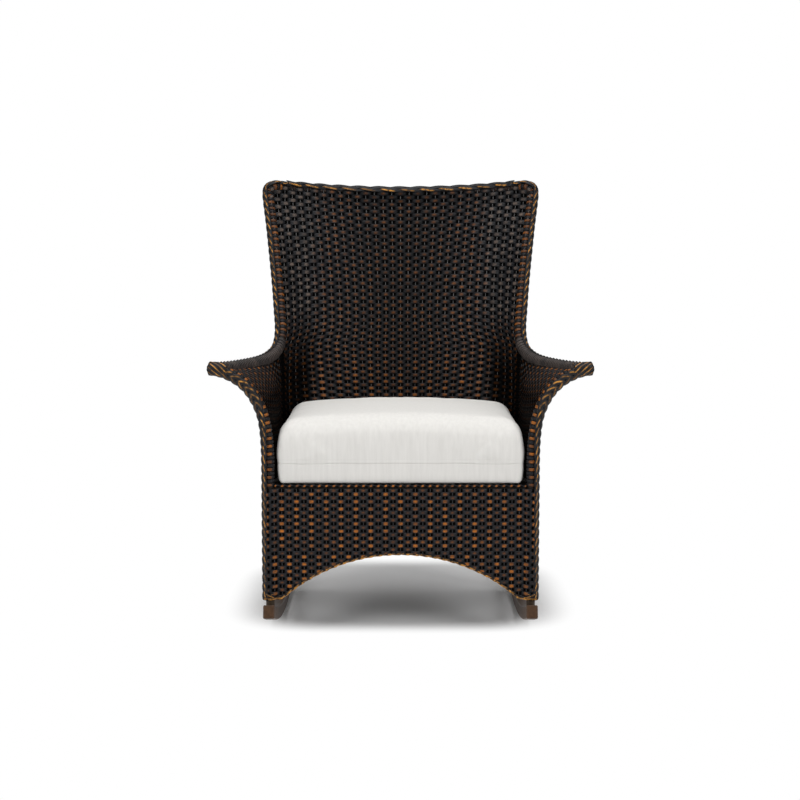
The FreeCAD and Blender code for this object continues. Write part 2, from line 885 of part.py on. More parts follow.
def build():
    nodes = {}

    def both(name, shape):
        nodes[name + "_right"] = shape
        nodes[name + "_left"] = mirrored(shape)

    # Rocker boards, legs and what holds them together
    board = make_rocker()
    board_room = make_board_room()
    bolts = make_bolts()
    bored = board
    for x, y in leg_axes():
        recess = Part.makeCylinder(bolt_head_radius, bolt_seat(x, y), Vector(x, y, 0))
        hole = Part.makeCylinder(bolt_radius, bolt_seat(x, y) + rocker_thickness, Vector(x, y, 0))
        bored = bored.cut(recess).cut(hole)
    both("rocker", bored)
    plugs = [without(plug, board_room, *bolts) for plug in make_plugs(board)]
    nodes["leg_plugs"] = Part.makeCompound(plugs + [mirrored(p) for p in plugs])
    nodes["rocker_bolts"] = Part.makeCompound(bolts + [mirrored(b) for b in bolts])

    # Tube frame
    both("rim_rail", tube(rim_rows(tip_close), tube_radius, bore_radius))
    nodes["top_rail"] = tube(top_rows(0.0), tube_radius, bore_radius)
    post = tube(post_rows(0.0), tube_radius, bore_radius)
    both("front_post", main_body(without(post, board_room, rim_bar)))
    leg = tube(leg_rows(), tube_radius, bore_radius)
    both("rear_leg", without(leg, board_room, rim_bar))
    front_bar, front_rail = make_front_rail()
    nodes["seat_rail_front"] = front_rail
    side_bar, side_rail = make_side_rail(front_bar)
    both("seat_rail", side_rail)
    rear_bar = rod(rear_rail_rows(), tube_radius)
    rear_rail = rear_bar.cut(rod(rear_rail_rows(), bore_radius))
    rear_rail = without(rear_rail, *leg_pair, side_bar, mirrored(side_bar))
    nodes["seat_rail_rear"] = main_body(rear_rail)

    # Arch rods and trims
    arches = {"front": front_arch_rows(), "rear": rear_arch_rows(), "right": side_arch_rows()}
    stops = (*post_cover_pair, *leg_pair)
    for name, rows in arches.items():
        arch_rod = main_body(without(rod(rows, rod_radius), *stops))
        trim = main_body(without(tube(rows, trim_radius, rod_radius), *stops))
        if name == "right":
            both("arch_rod", arch_rod)
            both("arch_trim", trim)
        else:
            nodes["arch_rod_" + name] = arch_rod
            nodes["arch_trim_" + name] = trim

    # Woven sheets
    lift = 2 * trim_radius + fit_gap
    ends = (-2 * post_x, 2 * post_x)
    rear_cut = arch_cutter(rear_arch_height, ends, 8 * arch_steps, True, lift, back_foot_depth)
    rear_cut.translate(place(0, back_foot_depth / 2, 0))
    ends = (post_depth, leg_foot_depth)
    side_cut = arch_cutter(side_arch_height, ends, 4 * arch_steps, False, lift, 2 * post_x)
    rim_room = room_around(rim_rows(0.0), wrap_radius)
    top_room = room_around(top_rows(0.0), wrap_radius)[0]
    leg_room = room_around(leg_rows(), tube_radius)
    post_room = room_around(post_rows(0.0), wrap_radius)[0]
    arch_room = {name: room_around(rows, trim_radius)[0] for name, rows in arches.items()}
    nodes["woven_apron"] = main_body(make_apron().cut(arch_room["front"]))
    nodes["woven_back"] = main_body(without(make_back(), top_room, *rim_room, *leg_room))
    skirt = without(make_rear_skirt(rear_cut), arch_room["rear"], *leg_room)
    nodes["woven_rear_skirt"] = main_body(skirt)
    side = without(make_side(side_cut), arch_room["right"], rim_room[0], leg_room[0], post_room)
    both("woven_side", main_body(side))

    # Wraps, braids and the apron's bead
    rails = (front_bar, side_bar)
    both("front_wrap", main_body(without(post_cover, post_bar, rim_cover, *rails)))
    braid = band(post_rows(skirt_bottom_z), wrap_radius, braid_radius, braid_half_width_deg)
    rim_braid = band(rim_rows(0.0), wrap_radius, braid_radius, braid_half_width_deg)
    both("front_braid", main_body(without(braid, rim_cover, rim_braid)))
    both("rim_wrap", without(rim_cover, rim_bar, post_bar, leg_bar))
    both("rim_braid", rim_braid)
    nodes["top_wrap"] = tube(top_rows(0.0), wrap_radius, tube_radius)
    rows = top_rows(braid_end_gap)
    nodes["top_braid"] = band(rows, wrap_radius, braid_radius, braid_half_width_deg)
    bead_ends = [place(x, apron_depth(), bead_z()) for x in (-post_x, post_x)]
    nodes["apron_bead"] = without(bar_between(*bead_ends, bead_radius), *post_cover_pair)

    # Seat
    nodes["webbing_across"] = make_straps_across()
    nodes["webbing_along"] = make_straps_along()
    nodes["cushion_cover"], nodes["cushion_core"] = make_cushion()
    return nodes


os.makedirs("parts", exist_ok=True)
for node, shape in build().items():
    shape.exportStep(os.path.join("parts", node + ".step"))
    print(node, len(shape.Solids), shape.isValid(), round(shape.Volume))
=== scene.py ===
"""Woven lounge rocker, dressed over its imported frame.

Metres, in the frame's own axes: X to the right of the front view, Y to the back, Z up, the floor at zero.
A depth is measured backwards from the front plane of the apron. Left and right are those of the front view.
"""

import json
import math

import bpy
import numpy as np
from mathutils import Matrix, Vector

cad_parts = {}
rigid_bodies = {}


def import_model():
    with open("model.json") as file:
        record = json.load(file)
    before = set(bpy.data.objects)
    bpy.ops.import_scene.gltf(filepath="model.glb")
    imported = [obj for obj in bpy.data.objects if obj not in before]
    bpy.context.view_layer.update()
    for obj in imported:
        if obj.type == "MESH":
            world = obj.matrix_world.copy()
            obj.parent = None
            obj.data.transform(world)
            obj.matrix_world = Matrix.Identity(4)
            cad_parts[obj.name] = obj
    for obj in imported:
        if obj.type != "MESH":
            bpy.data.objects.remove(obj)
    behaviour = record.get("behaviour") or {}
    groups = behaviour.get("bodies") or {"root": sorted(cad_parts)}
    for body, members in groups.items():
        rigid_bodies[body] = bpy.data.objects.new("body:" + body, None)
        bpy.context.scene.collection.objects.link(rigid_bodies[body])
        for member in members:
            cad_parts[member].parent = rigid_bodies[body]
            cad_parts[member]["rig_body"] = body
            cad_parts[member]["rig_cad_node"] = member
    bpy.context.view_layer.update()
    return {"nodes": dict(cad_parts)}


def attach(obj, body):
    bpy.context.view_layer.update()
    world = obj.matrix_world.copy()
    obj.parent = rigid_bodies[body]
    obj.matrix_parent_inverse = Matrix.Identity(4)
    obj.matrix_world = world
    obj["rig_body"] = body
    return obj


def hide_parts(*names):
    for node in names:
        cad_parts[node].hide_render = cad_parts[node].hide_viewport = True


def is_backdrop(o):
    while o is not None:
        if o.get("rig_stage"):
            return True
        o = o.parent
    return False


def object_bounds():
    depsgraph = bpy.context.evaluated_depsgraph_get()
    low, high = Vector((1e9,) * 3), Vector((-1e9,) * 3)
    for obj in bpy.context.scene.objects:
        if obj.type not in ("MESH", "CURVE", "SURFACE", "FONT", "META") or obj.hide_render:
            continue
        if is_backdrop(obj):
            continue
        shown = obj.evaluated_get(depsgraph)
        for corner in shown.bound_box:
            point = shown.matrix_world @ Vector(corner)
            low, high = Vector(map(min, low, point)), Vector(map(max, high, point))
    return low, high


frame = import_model()

# Camera, floor and lamps
# The photograph's view, from a little above the arms through a long lens, on a white floor that keeps only
# the chair's soft shadow, with three even lamps in a pale room.
front_plane_y = -0.37
camera_distance = 3.6
camera_height = 0.92
camera_tilt = math.radians(5.79)
camera_shift_px = -0.5
image_px = 800
lens_mm = 70.97
sensor_mm = 36
floor_size = 40.0
floor_middle = (0, 0.1, 0)
floor_white = 0.92
floor_glow = 0.03
shadow_half_size = (0.46, 0.46)
shadow_reach = (0.45, 0.95)
room_light = 0.26

bpy.ops.object.select_all(action="DESELECT")
bpy.ops.object.camera_add(
    location=(0, front_plane_y - camera_distance, camera_height),
    rotation=(math.pi / 2 - camera_tilt, 0, 0),
)
camera = bpy.context.object
camera.data.lens = lens_mm
camera.data.sensor_width = sensor_mm
camera.data.shift_x = camera_shift_px / image_px
bpy.context.scene.camera = camera
bpy.context.scene.view_settings.view_transform = "Standard"


def add_node(tree, kind, **values):
    """A new node of a finish, with its plain inputs set by name."""
    node = tree.nodes.new(kind)
    for name, value in values.items():
        node.inputs[name.replace("_", " ")].default_value = value
    return node


def ranged(tree, source, low, high, to_low=0.0, to_high=1.0):
    """A value stretched from its own range to another, with a soft start and end."""
    reach = add_node(tree, "ShaderNodeMapRange")
    reach.interpolation_type = "SMOOTHSTEP"
    for name, value in (("From Min", low), ("From Max", high), ("To Min", to_low), ("To Max", to_high)):
        reach.inputs[name].default_value = value
    tree.links.new(source, reach.inputs["Value"])
    return reach.outputs[0]


def either_ray(tree, *kinds):
    """One where a ray is of either kind."""
    rays = tree.nodes.new("ShaderNodeLightPath")
    either = tree.nodes.new("ShaderNodeMath")
    either.operation = "MAXIMUM"
    for place, kind in enumerate(kinds):
        tree.links.new(rays.outputs[kind], either.inputs[place])
    return either.outputs[0]


def mixed_shader(tree, amount, first, second):
    """A blend of two shaders, which is the second one where the amount is one."""
    mix = tree.nodes.new("ShaderNodeMixShader")
    for place, source in enumerate((amount, first, second)):
        tree.links.new(source, mix.inputs[place])
    return mix.outputs[0]


bpy.ops.mesh.primitive_plane_add(size=floor_size, location=floor_middle)
floor = bpy.context.object
floor.name = "floor"
floor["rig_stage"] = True
floor_paint = bpy.data.materials.new("floor_paint")
floor_paint.use_nodes = True
tree = floor_paint.node_tree
tree.nodes.clear()
out = tree.nodes.new("ShaderNodeOutputMaterial")
matt = add_node(tree, "ShaderNodeBsdfDiffuse", Color=(floor_white, floor_white, floor_white, 1))
glow = add_node(tree, "ShaderNodeEmission", Color=(1, 1, 1, 1), Strength=floor_glow)
both = tree.nodes.new("ShaderNodeAddShader")
tree.links.new(matt.outputs[0], both.inputs[0])
tree.links.new(glow.outputs[0], both.inputs[1])
white = add_node(tree, "ShaderNodeEmission", Color=(1, 1, 1, 1), Strength=1.0)
spot = tree.nodes.new("ShaderNodeTexCoord")
shadow_scale = (1 / shadow_half_size[0], 1 / shadow_half_size[1], 1)
squeeze = add_node(tree, "ShaderNodeMapping", Scale=shadow_scale)
squared = tree.nodes.new("ShaderNodeVectorMath")
squared.operation = "MULTIPLY"
away = tree.nodes.new("ShaderNodeVectorMath")
away.operation = "LENGTH"
tree.links.new(spot.outputs["Object"], squeeze.inputs["Vector"])
tree.links.new(squeeze.outputs["Vector"], squared.inputs[0])
tree.links.new(squeeze.outputs["Vector"], squared.inputs[1])
tree.links.new(squared.outputs["Vector"], away.inputs[0])
fade = ranged(tree, away.outputs["Value"], *shadow_reach)
shown = mixed_shader(tree, fade, both.outputs[0], white.outputs[0])
by_eye = either_ray(tree, "Is Camera Ray", "Is Glossy Ray")
tree.links.new(mixed_shader(tree, by_eye, matt.outputs[0], shown), out.inputs[0])
floor.data.materials.append(floor_paint)

world = bpy.data.worlds.new("studio_air")
world.use_nodes = True
bpy.context.scene.world = world
tree = world.node_tree
tree.nodes.clear()
out = tree.nodes.new("ShaderNodeOutputWorld")
air = add_node(tree, "ShaderNodeBackground", Color=(1, 1, 1, 1), Strength=room_light)
backdrop = add_node(tree, "ShaderNodeBackground", Color=(1, 1, 1, 1), Strength=1.0)
by_eye = either_ray(tree, "Is Camera Ray", "Is Transmission Ray")
tree.links.new(mixed_shader(tree, by_eye, air.outputs[0], backdrop.outputs[0]), out.inputs[0])

lamps = (
    ("lamp_over", (0.0, -0.5, 3.0), 2.8, 62),
    ("lamp_right", (2.3, -2.6, 1.5), 1.1, 28),
    ("lamp_left", (-2.3, -2.6, 1.5), 1.1, 28),
)
lamp_aim = np.array([0.0, 0.0, 0.5])
for name, spot, size, power in lamps:
    away = np.array(spot) - lamp_aim
    turn_z = math.atan2(away[1], away[0]) + math.pi / 2
    lean = math.acos(away[2] / np.linalg.norm(away))
    bpy.ops.object.light_add(type="AREA", location=spot, rotation=(lean, 0, turn_z))
    lamp = bpy.context.object
    lamp.name = name
    lamp.data.size = size
    lamp.data.energy = power


# Rocker boards
# Two hardwood strips bent to one arc, their edges eased, stained a satin brown. Each is held up to its two
# legs by bolts from below.
board_dark = (0.050, 0.023, 0.010)
board_light = (0.085, 0.042, 0.019)
board_grain = (14, 1.2, 14)
board_shine = 0.3
tone_spread = 0.2


def new_finish(name, colour, roughness):
    """A finish whose even values sit on its shader."""
    finish = bpy.data.materials.new(name)
    finish.use_nodes = True
    shader = finish.node_tree.nodes["Principled BSDF"]
    shader.inputs["Base Color"].default_value = (*colour, 1)
    shader.inputs["Roughness"].default_value = roughness
    finish.diffuse_color = (*colour, 1)
    return finish, shader


def mottled(finish, shader, dark, light, scale, stretch=(1, 1, 1), bump=0.0, detail=4.0):
    """Colours a finish between two tones with stretched noise on the piece's own place, and roughens it."""
    tree = finish.node_tree
    place_in = tree.nodes.new("ShaderNodeTexCoord")
    lay = add_node(tree, "ShaderNodeMapping", Scale=stretch)
    grain = add_node(tree, "ShaderNodeTexNoise", Scale=scale, Detail=detail, Roughness=0.6)
    tones = tree.nodes.new("ShaderNodeValToRGB")
    tones.color_ramp.elements[0].position = 0.5 - tone_spread
    tones.color_ramp.elements[1].position = 0.5 + tone_spread
    tones.color_ramp.elements[0].color = (*dark, 1)
    tones.color_ramp.elements[1].color = (*light, 1)
    tree.links.new(place_in.outputs["Object"], lay.inputs["Vector"])
    tree.links.new(lay.outputs["Vector"], grain.inputs["Vector"])
    tree.links.new(grain.outputs["Fac"], tones.inputs["Fac"])
    tree.links.new(tones.outputs["Color"], shader.inputs["Base Color"])
    if bump:
        relief = add_node(tree, "ShaderNodeBump", Strength=0.5, Distance=bump)
        tree.links.new(grain.outputs["Fac"], relief.inputs["Height"])
        tree.links.new(relief.outputs["Normal"], shader.inputs["Normal"])


def finish_nodes(finish, slot, *names):
    """Gives CAD nodes a finish. Its slot argument is not used."""
    for name in names:
        node = frame["nodes"][name]
        node.data.materials.clear()
        node.data.materials.append(finish)


board_stain, shader = new_finish("board_stain", board_light, 0.42)
shader.inputs["Specular IOR Level"].default_value = board_shine
mottled(board_stain, shader, board_dark, board_light, scale=9.0, stretch=board_grain, bump=0.0004, detail=6)
finish_nodes(board_stain, "rocker_wood", "rocker_right", "rocker_left")

# Leg plugs and bolts
# Black plastic plugs driven into the four tube ends, and zinc-plated bolts that draw the rockers up
# against them.
plug_tone = (0.012, 0.012, 0.012)
plug_dark = (0.008, 0.008, 0.008)
plug_light = (0.018, 0.018, 0.018)
zinc_tone = (0.5, 0.5, 0.48)
zinc_dark = (0.38, 0.38, 0.37)
zinc_light = (0.58, 0.58, 0.55)
plug_black, shader = new_finish("plug_black", plug_tone, 0.55)
mottled(plug_black, shader, plug_dark, plug_light, scale=90, bump=0.0002)
finish_nodes(plug_black, "plug_plastic", "leg_plugs")
bolt_zinc, shader = new_finish("bolt_zinc", zinc_tone, 0.36)
shader.inputs["Metallic"].default_value = 1.0
mottled(bolt_zinc, shader, zinc_dark, zinc_light, scale=160, bump=0.0001)
finish_nodes(bolt_zinc, "bolt_steel", "rocker_bolts")

# Tube frame
# Bent aluminium tube and rod, welded and powder coated a dark bronze, a paler brown at the feet. The lines
# that its tubes follow carry all the weave. Their points are (distance from the middle, depth, height).
coat_dark = (0.010, 0.008, 0.007)
coat_light = (0.020, 0.015, 0.012)
coat_paler_feet = (0.055, 0.037, 0.023)
paler_feet_heights = (0.08, 0.10)
coat_shine = 0.15
post_x = 0.3035
post_depth = 0.013
arm_tip = (0.428, 0.0, 0.626)
arm_z = 0.62
waist = (0.305, 0.455, 0.69)
corner = (0.346, 0.603, 1.05)
corner_radius = 0.034
top_middle_depth = 0.75
top_middle_z = 1.049
top_plan_radius = 0.459
top_end_x = 0.305
top_tilt_share = 0.1
skirt_bottom_z = 0.087
flare_start_z = 0.401
leg_foot = (0.302, 0.48, 0.031)
leg_head = (0.309, 0.425, 0.652)
back_foot_depth = 0.502
back_foot_z = 0.346
deck_top_z = 0.3587
tube_radius = 0.010
wrap_radius = 0.013
arm_shares = (
    (0.675, 0.33, 0), (0.333, 0.659, 0), (0.146, 0.835, 0.143), (0.033, 0.934, 0.457), (0, 1, 1),
)
wing_shares = (
    (0.122, 0.203, 0.139), (0.317, 0.439, 0.35), (0.707, 0.764, 0.711), (0.976, 0.939, 0.931),
)
plan_shares = (
    (0, 0.77, 0.95, 0.96), (0.22, 0.72, 0.96, 0.87), (0.49, 0.72, 0.85, 0.63), (1, 0.49, 0.81, 0.33),
)
flare_handle_shares = (0.555, 0.213, 0.098)
rim_facing_shares = (
    (0.8, 0, 0.6), (0.8, 0, 0.6), (0.8, -0.1, 0.6), (0.75, -0.35, 0.5), (0.7, -0.6, 0.3),
    (0.65, -0.75, 0.1), (0.6, -0.8, 0), (0.6, -0.8, 0), (0.6, -0.75, 0.2), (0.6, -0.65, 0.35),
    (0.6, -0.55, 0.6), (0.4, -0.5, 0.8), (0.1, -0.5, 0.87),
)
corner_cut = 0.35
corner_drop = 0.1
rim_spans = 12
wing_first_span = 4
arm_last_span = 5
rim_fineness = 24
plan_steps = 65
flare_steps = 40
upright_steps = 12


def tinted(tree, amount, start, end):
    """A colour between two, each a colour or another node's output."""
    mix = tree.nodes.new("ShaderNodeMix")
    mix.data_type = "RGBA"
    tree.links.new(amount, mix.inputs["Factor"])
    for name, colour in (("A", start), ("B", end)):
        if isinstance(colour, tuple):
            mix.inputs[name].default_value = (*colour, 1)
        else:
            tree.links.new(colour, mix.inputs[name])
    return mix.outputs["Result"]


def own_height(tree):
    """The height of each point of a piece."""
    spot = tree.nodes.new("ShaderNodeTexCoord")
    split = tree.nodes.new("ShaderNodeSeparateXYZ")
    tree.links.new(spot.outputs["Object"], split.inputs["Vector"])
    return split.outputs["Z"]


frame_coat, shader = new_finish("frame_coat", coat_light, 0.48)
mottled(frame_coat, shader, coat_dark, coat_light, scale=420, bump=0.00015, detail=2)
tree = frame_coat.node_tree
paler_feet = ranged(tree, own_height(tree), *paler_feet_heights, 1.0, 0.0)
plain_coat = shader.inputs["Base Color"].links[0].from_socket
tree.links.new(tinted(tree, paler_feet, plain_coat, coat_paler_feet), shader.inputs["Base Color"])
shader.inputs["Specular IOR Level"].default_value = coat_shine
tube_names = ["top_rail", "seat_rail_front", "seat_rail_rear", "arch_rod_front", "arch_rod_rear"]
for stem in ("rim_rail", "front_post", "rear_leg", "seat_rail", "arch_rod"):
    tube_names += [stem + "_right", stem + "_left"]
finish_nodes(frame_coat, "frame_tube", *tube_names)


def between(a, b, share):
    return a + (b - a) * share


def through(keys, t):
    """A smooth line through key points, where t runs from zero to the number of spans."""
    keys = np.array(keys, float)
    spans = len(keys) - 1
    i = min(max(int(t), 0), spans - 1)
    u = t - i
    a, b, c, d = keys[max(i - 1, 0)], keys[i], keys[i + 1], keys[min(i + 2, spans)]
    rise_b = (c - a) / 2 if i > 0 else c - b
    rise_c = (d - b) / 2 if i < spans - 1 else c - b
    cubic = 2 * b - 2 * c + rise_b + rise_c
    square = 3 * (c - b) - 2 * rise_b - rise_c
    return ((cubic * u + square) * u + rise_b) * u + b


def swept(handles, count):
    """Points along the curve of four handles."""
    p0, p1, p2, p3 = (np.array(p, float) for p in handles)
    t = np.linspace(0, 1, count)[:, None]
    s = 1 - t
    return s**3 * p0 + 3 * s * s * t * p1 + 3 * s * t * t * p2 + t**3 * p3


def lengths_along(points):
    steps = np.linalg.norm(np.diff(points, axis=0), axis=1)
    return np.concatenate([[0], np.cumsum(steps)])


def spaced(points, shares):
    """Points at the given shares of a line's length."""
    run = lengths_along(points)
    return np.stack([np.interp(np.asarray(shares) * run[-1], run, column) for column in points.T], 1)


def on_floor(points):
    """Turns (distance, depth, height) into the frame's X, Y and Z."""
    return points + np.array([0, front_plane_y, 0])


def top_point(x):
    depth = top_middle_depth - top_plan_radius + math.sqrt(top_plan_radius**2 - x**2)
    return (x, depth, top_middle_z + top_tilt_share * (top_middle_depth - depth))


rim_keys = [arm_tip]
for across, back, up in arm_shares:
    rim_keys.append((between(waist[0], arm_tip[0], across), waist[1] * back, between(arm_z, waist[2], up)))
for across, back, up in wing_shares:
    rim_keys.append(tuple(between(w, c, s) for w, c, s in zip(waist, corner, (across, back, up))))
rim_keys.append(corner)
x, depth, z = top_point(corner[0] - corner_cut * corner_radius)
rim_keys.append((x, depth, z - corner_drop * corner_radius))
rim_keys.append(top_point(top_end_x))
rim_steps = range(rim_spans * rim_fineness + 1)
rim_line = np.array([through(rim_keys, i / rim_fineness) for i in rim_steps])
rim_faces = np.array([through(rim_facing_shares, i / rim_fineness) for i in rim_steps])
wing_line = rim_line[wing_first_span * rim_fineness :]
arm_line = rim_line[: arm_last_span * rim_fineness + 1]


def rim_at_height(z):
    return np.array([np.interp(z, wing_line[:, 2], wing_line[:, i]) for i in range(3)])


def rim_at_depth(depth):
    return np.array([np.interp(depth, arm_line[:, 1], arm_line[:, i]) for i in range(3)])


def leg_point(z):
    share = (z - leg_foot[2]) / (leg_head[2] - leg_foot[2])
    return np.array([between(leg_foot[0], leg_head[0], share), between(leg_foot[1], leg_head[1], share), z])


def flare(x, top):
    """Handles of the curve from the straight side up to the arm's rim, as (distance, height)."""
    rise = top[2] - flare_start_z
    up, out, drop = flare_handle_shares
    third = (x + out * (top[0] - x), top[2] - drop * rise)
    return ((x, flare_start_z), (x, flare_start_z + up * rise), third, (top[0], top[2]))


def plan_curve(edge, middle_depth, middle_z, table):
    """Half of a section across the back, from the middle to the edge."""
    near, far, back = table
    tilt = (edge[2] - middle_z) / (middle_depth - edge[1])
    far_depth = between(edge[1], middle_depth, back)
    middle = (0, middle_depth, middle_z)
    first = (near * edge[0], middle_depth, middle_z)
    second = (far * edge[0], far_depth, middle_z + tilt * (middle_depth - far_depth))
    return swept((middle, first, second, edge), plan_steps)


def back_section(edge_z):
    """Half of the back's section through the point of its edge at a height."""
    edge = leg_point(edge_z) if edge_z < leg_head[2] else rim_at_height(edge_z)
    lean = (top_middle_depth - back_foot_depth) / (top_middle_z - back_foot_z)
    rise = (edge_z - back_foot_z) / (top_middle_z - back_foot_z)
    tilt = top_tilt_share * rise * rise
    foot = back_foot_depth - lean * back_foot_z
    middle_z = (edge[2] + tilt * (edge[1] - foot)) / (1 + tilt * lean)
    heights = [row[0] for row in plan_shares]
    rows = [row[1:] for row in plan_shares]
    i = max(k for k in range(3) if heights[k] <= max(rise, 0))
    table = through(rows, i + (rise - heights[i]) / (heights[i + 1] - heights[i]))
    return plan_curve(edge, foot + lean * middle_z, middle_z, table)


def side_section(share):
    """Section up the woven side, from its foot to the rim, at a share of the way from post to leg."""

    def foot_at(z):
        leg = leg_point(z)
        return between(post_x, leg[0], share), between(post_depth, leg[1], share)

    top = rim_at_depth(between(post_depth, leg_head[1], share))
    curve = swept(flare(foot_at(flare_start_z)[0], top), flare_steps)
    low = [(*foot_at(z), z) for z in np.linspace(skirt_bottom_z, flare_start_z, upright_steps)[:-1]]
    high = [(x, foot_at(z)[1], z) for x, z in curve]
    return np.array(low + high)


# Woven apron
# A sheet of flat oval resin strand between the front posts, from just under the seat down to the front arch,
# woven over one and under one round upright stakes. Here it is woven flat, as the other sheets are, and then
# laid on its part of the chair, as the weaver pulls it round the frame.
strand_lap = 1.2
strand_thickness = 0.0024
stake_radius = 0.0012
weave_lift = 0.0022
crown_fullness = 1.25
strand_pieces = 4
strand_charcoal = (0.0105, 0.0108, 0.0125)
strand_orange = (0.50, 0.155, 0.016)
# The crowns' painted sheen colour, a pale grey-brown, used where a piece notes it.
strand_painted_sheen = (0.19, 0.142, 0.115)
strand_shadow = (0.0015, 0.0015, 0.0015)
stake_grey = (0.10, 0.10, 0.10)
stake_shine = 0.3
stake_fade_heights = (0.4, 0.75)
least_shade = 0.3
shade_chance = 0.2
warm_row_shade = 0.5
crown_heights = (0.42, 0.9)
pit_shade_heights = (-0.75, -0.15)
shine_heights = (-0.6, 0.3)
rib_depth = 0.0003
crown_by_shade = (0.0, 1.0, 0.66, 1.0)
warmth_by_shade = (0.0, 1.0, 0.15, 1.0)
patch_scale = 26
patch_range = (0.34, 0.62, 0.35, 1.0)
streak_scale = (5, 110, 1)
streak_range = (0.32, 0.6, 0.3, 1.0)
painted_shade_shine = (0.0, 1.0, 0.2, 0.0)
stake_high_range = (0.15, 1.0)
stake_patch_scale = 60
stake_patch_range = (0.3, 0.6, 0.4, 1.0)
flat_scale = 10
net_fineness = 4
apron_depth = wrap_radius - 0.004
apron_columns = 38
apron_rows = 30
apron_turn_row = 13
apron_pitch = 0.0172
apron_row_pitch = 0.00864
apron_foot_z = 0.0888
apron_edge = ((17, 18, 19), (0.2924, 0.3096, 0.3165))
apron_over_post = tube_radius + 0.0035
front_arch_half_span = 0.276
arch_top_z = 0.191
trim_radius = 0.0045


def strand(length, width, thickness, pieces, round_pieces=8):
    """A straight strand along X from the origin: an oval ring, extruded piece by piece."""
    bpy.ops.object.select_all(action="DESELECT")
    bpy.ops.mesh.primitive_circle_add(vertices=round_pieces, radius=0.5, rotation=(0, math.pi / 2, 0))
    made = bpy.context.object
    bpy.ops.object.transform_apply(location=False, rotation=True, scale=False)
    bpy.ops.object.mode_set(mode="EDIT")
    bpy.ops.mesh.select_all(action="SELECT")
    bpy.ops.transform.resize(value=(1, width, thickness))
    for _ in range(pieces):
        bpy.ops.mesh.extrude_region_move(TRANSFORM_OT_translate={"value": (length / pieces, 0, 0)})
    bpy.ops.object.mode_set(mode="OBJECT")
    return made


def points_of(piece):
    flat = np.empty(len(piece.data.vertices) * 3)
    piece.data.vertices.foreach_get("co", flat)
    return flat.reshape(-1, 3)


def set_points(piece, points):
    piece.data.vertices.foreach_set("co", np.asarray(points).ravel())
    piece.data.update()


def note(piece, name, values):
    """Keeps one number for each point, which the finish reads."""
    attribute = piece.data.attributes.get(name) or piece.data.attributes.new(name, "FLOAT", "POINT")
    attribute.data.foreach_set("value", np.asarray(values, np.float32))


def noted(piece, name):
    values = np.empty(len(piece.data.vertices), np.float32)
    piece.data.attributes[name].data.foreach_get("value", values)
    return values


def take(piece):
    """Makes a piece the only one that is selected, and the active one."""
    bpy.ops.object.select_all(action="DESELECT")
    bpy.context.view_layer.objects.active = piece
    piece.select_set(True)


def name_piece(piece, name):
    piece.name = name
    piece.data.name = name


def repeat(piece, count, step, joined=False):
    """Copies a piece along, each copy a step further, its ends joined to the next where they meet."""
    take(piece)
    row = piece.modifiers.new("row", "ARRAY")
    row.count = count
    row.use_relative_offset = False
    row.use_constant_offset = True
    row.constant_offset_displace = step
    row.use_merge_vertices = joined
    row.merge_threshold = 0.0001
    bpy.ops.object.modifier_apply(modifier=row.name)


def join(pieces, name):
    bpy.ops.object.select_all(action="DESELECT")
    for piece in pieces:
        piece.select_set(True)
    bpy.context.view_layer.objects.active = pieces[0]
    bpy.ops.object.join()
    name_piece(pieces[0], name)
    return pieces[0]


def plain_weave(name, columns, rows, column_pitch, row_pitch, seed, turn_row=0, first=1):
    """A flat sheet of plain weave, weavers along X and stakes along Y, with a crown on every crossing.

    Every second weaver is rubbed warmer, and below the turning row the others are. The first weaver starts
    over the first stake, or under it where first is -1.
    """
    strand_width = strand_lap * row_pitch
    pair = []
    for row in (0, 1):
        weaver = strand(2 * column_pitch, strand_width, strand_thickness, 2 * strand_pieces)
        points = points_of(weaver)
        swing = np.cos(np.pi * points[:, 0] / column_pitch) * (first if row == 0 else -first)
        swing = swing * (crown_fullness - (crown_fullness - 1) * swing**2)
        note(weaver, "swing", swing)
        note(weaver, "height", swing * points[:, 2] / strand_thickness * 2)
        points[:, 2] += weave_lift * swing
        points[:, 1] += (row + 0.5) * row_pitch
        set_points(weaver, points)
        pair.append(weaver)
    weavers = join(pair, name + "_weavers")
    repeat(weavers, columns // 2, (2 * column_pitch, 0, 0), joined=True)
    repeat(weavers, rows // 2, (0, 2 * row_pitch, 0))
    weavers.data.materials.append(weaver_finish)
    stake = strand(row_pitch, 2 * stake_radius, 2 * stake_radius, 1, round_pieces=6)
    points = points_of(stake)[:, [1, 0, 2]] + np.array([column_pitch, 0, 0])
    set_points(stake, points)
    note(stake, "swing", np.zeros(len(points)))
    note(stake, "height", np.zeros(len(points)))
    repeat(stake, rows, (0, row_pitch, 0), joined=True)
    repeat(stake, columns - 1, (column_pitch, 0, 0))
    stake.data.materials.append(stake_finish)
    sheet = join([weavers, stake], name)
    points = points_of(sheet)
    chance = np.random.default_rng(seed)
    row = np.clip((points[:, 1] / row_pitch).astype(int), 0, rows - 1)
    number = np.arange(rows)
    warmer = (number + (number < turn_row) + (first < 0)) % 2
    shade = least_shade + shade_chance * chance.uniform(0, 1, rows) + warm_row_shade * warmer
    note(sheet, "shade", shade[row])
    keep_flat_place(sheet, points)
    return sheet


def keep_flat_place(piece, points):
    """The flat place of each corner, kept as the piece's own UV map, so that streaks follow the strands."""
    layer = piece.data.uv_layers.get("flat") or piece.data.uv_layers.new(name="flat")
    corners = np.empty(len(piece.data.loops), np.int32)
    piece.data.loops.foreach_get("vertex_index", corners)
    layer.data.foreach_set("uv", (points[corners, :2] * flat_scale).astype(np.float32).ravel())


def normals_of(net):
    """Outward direction at each knot of a net of points, whose rows go up and whose columns go along."""
    along = np.gradient(net, axis=1)
    up = np.gradient(net, axis=0)
    out = np.cross(along, up)
    return out / np.linalg.norm(out, axis=2, keepdims=True)


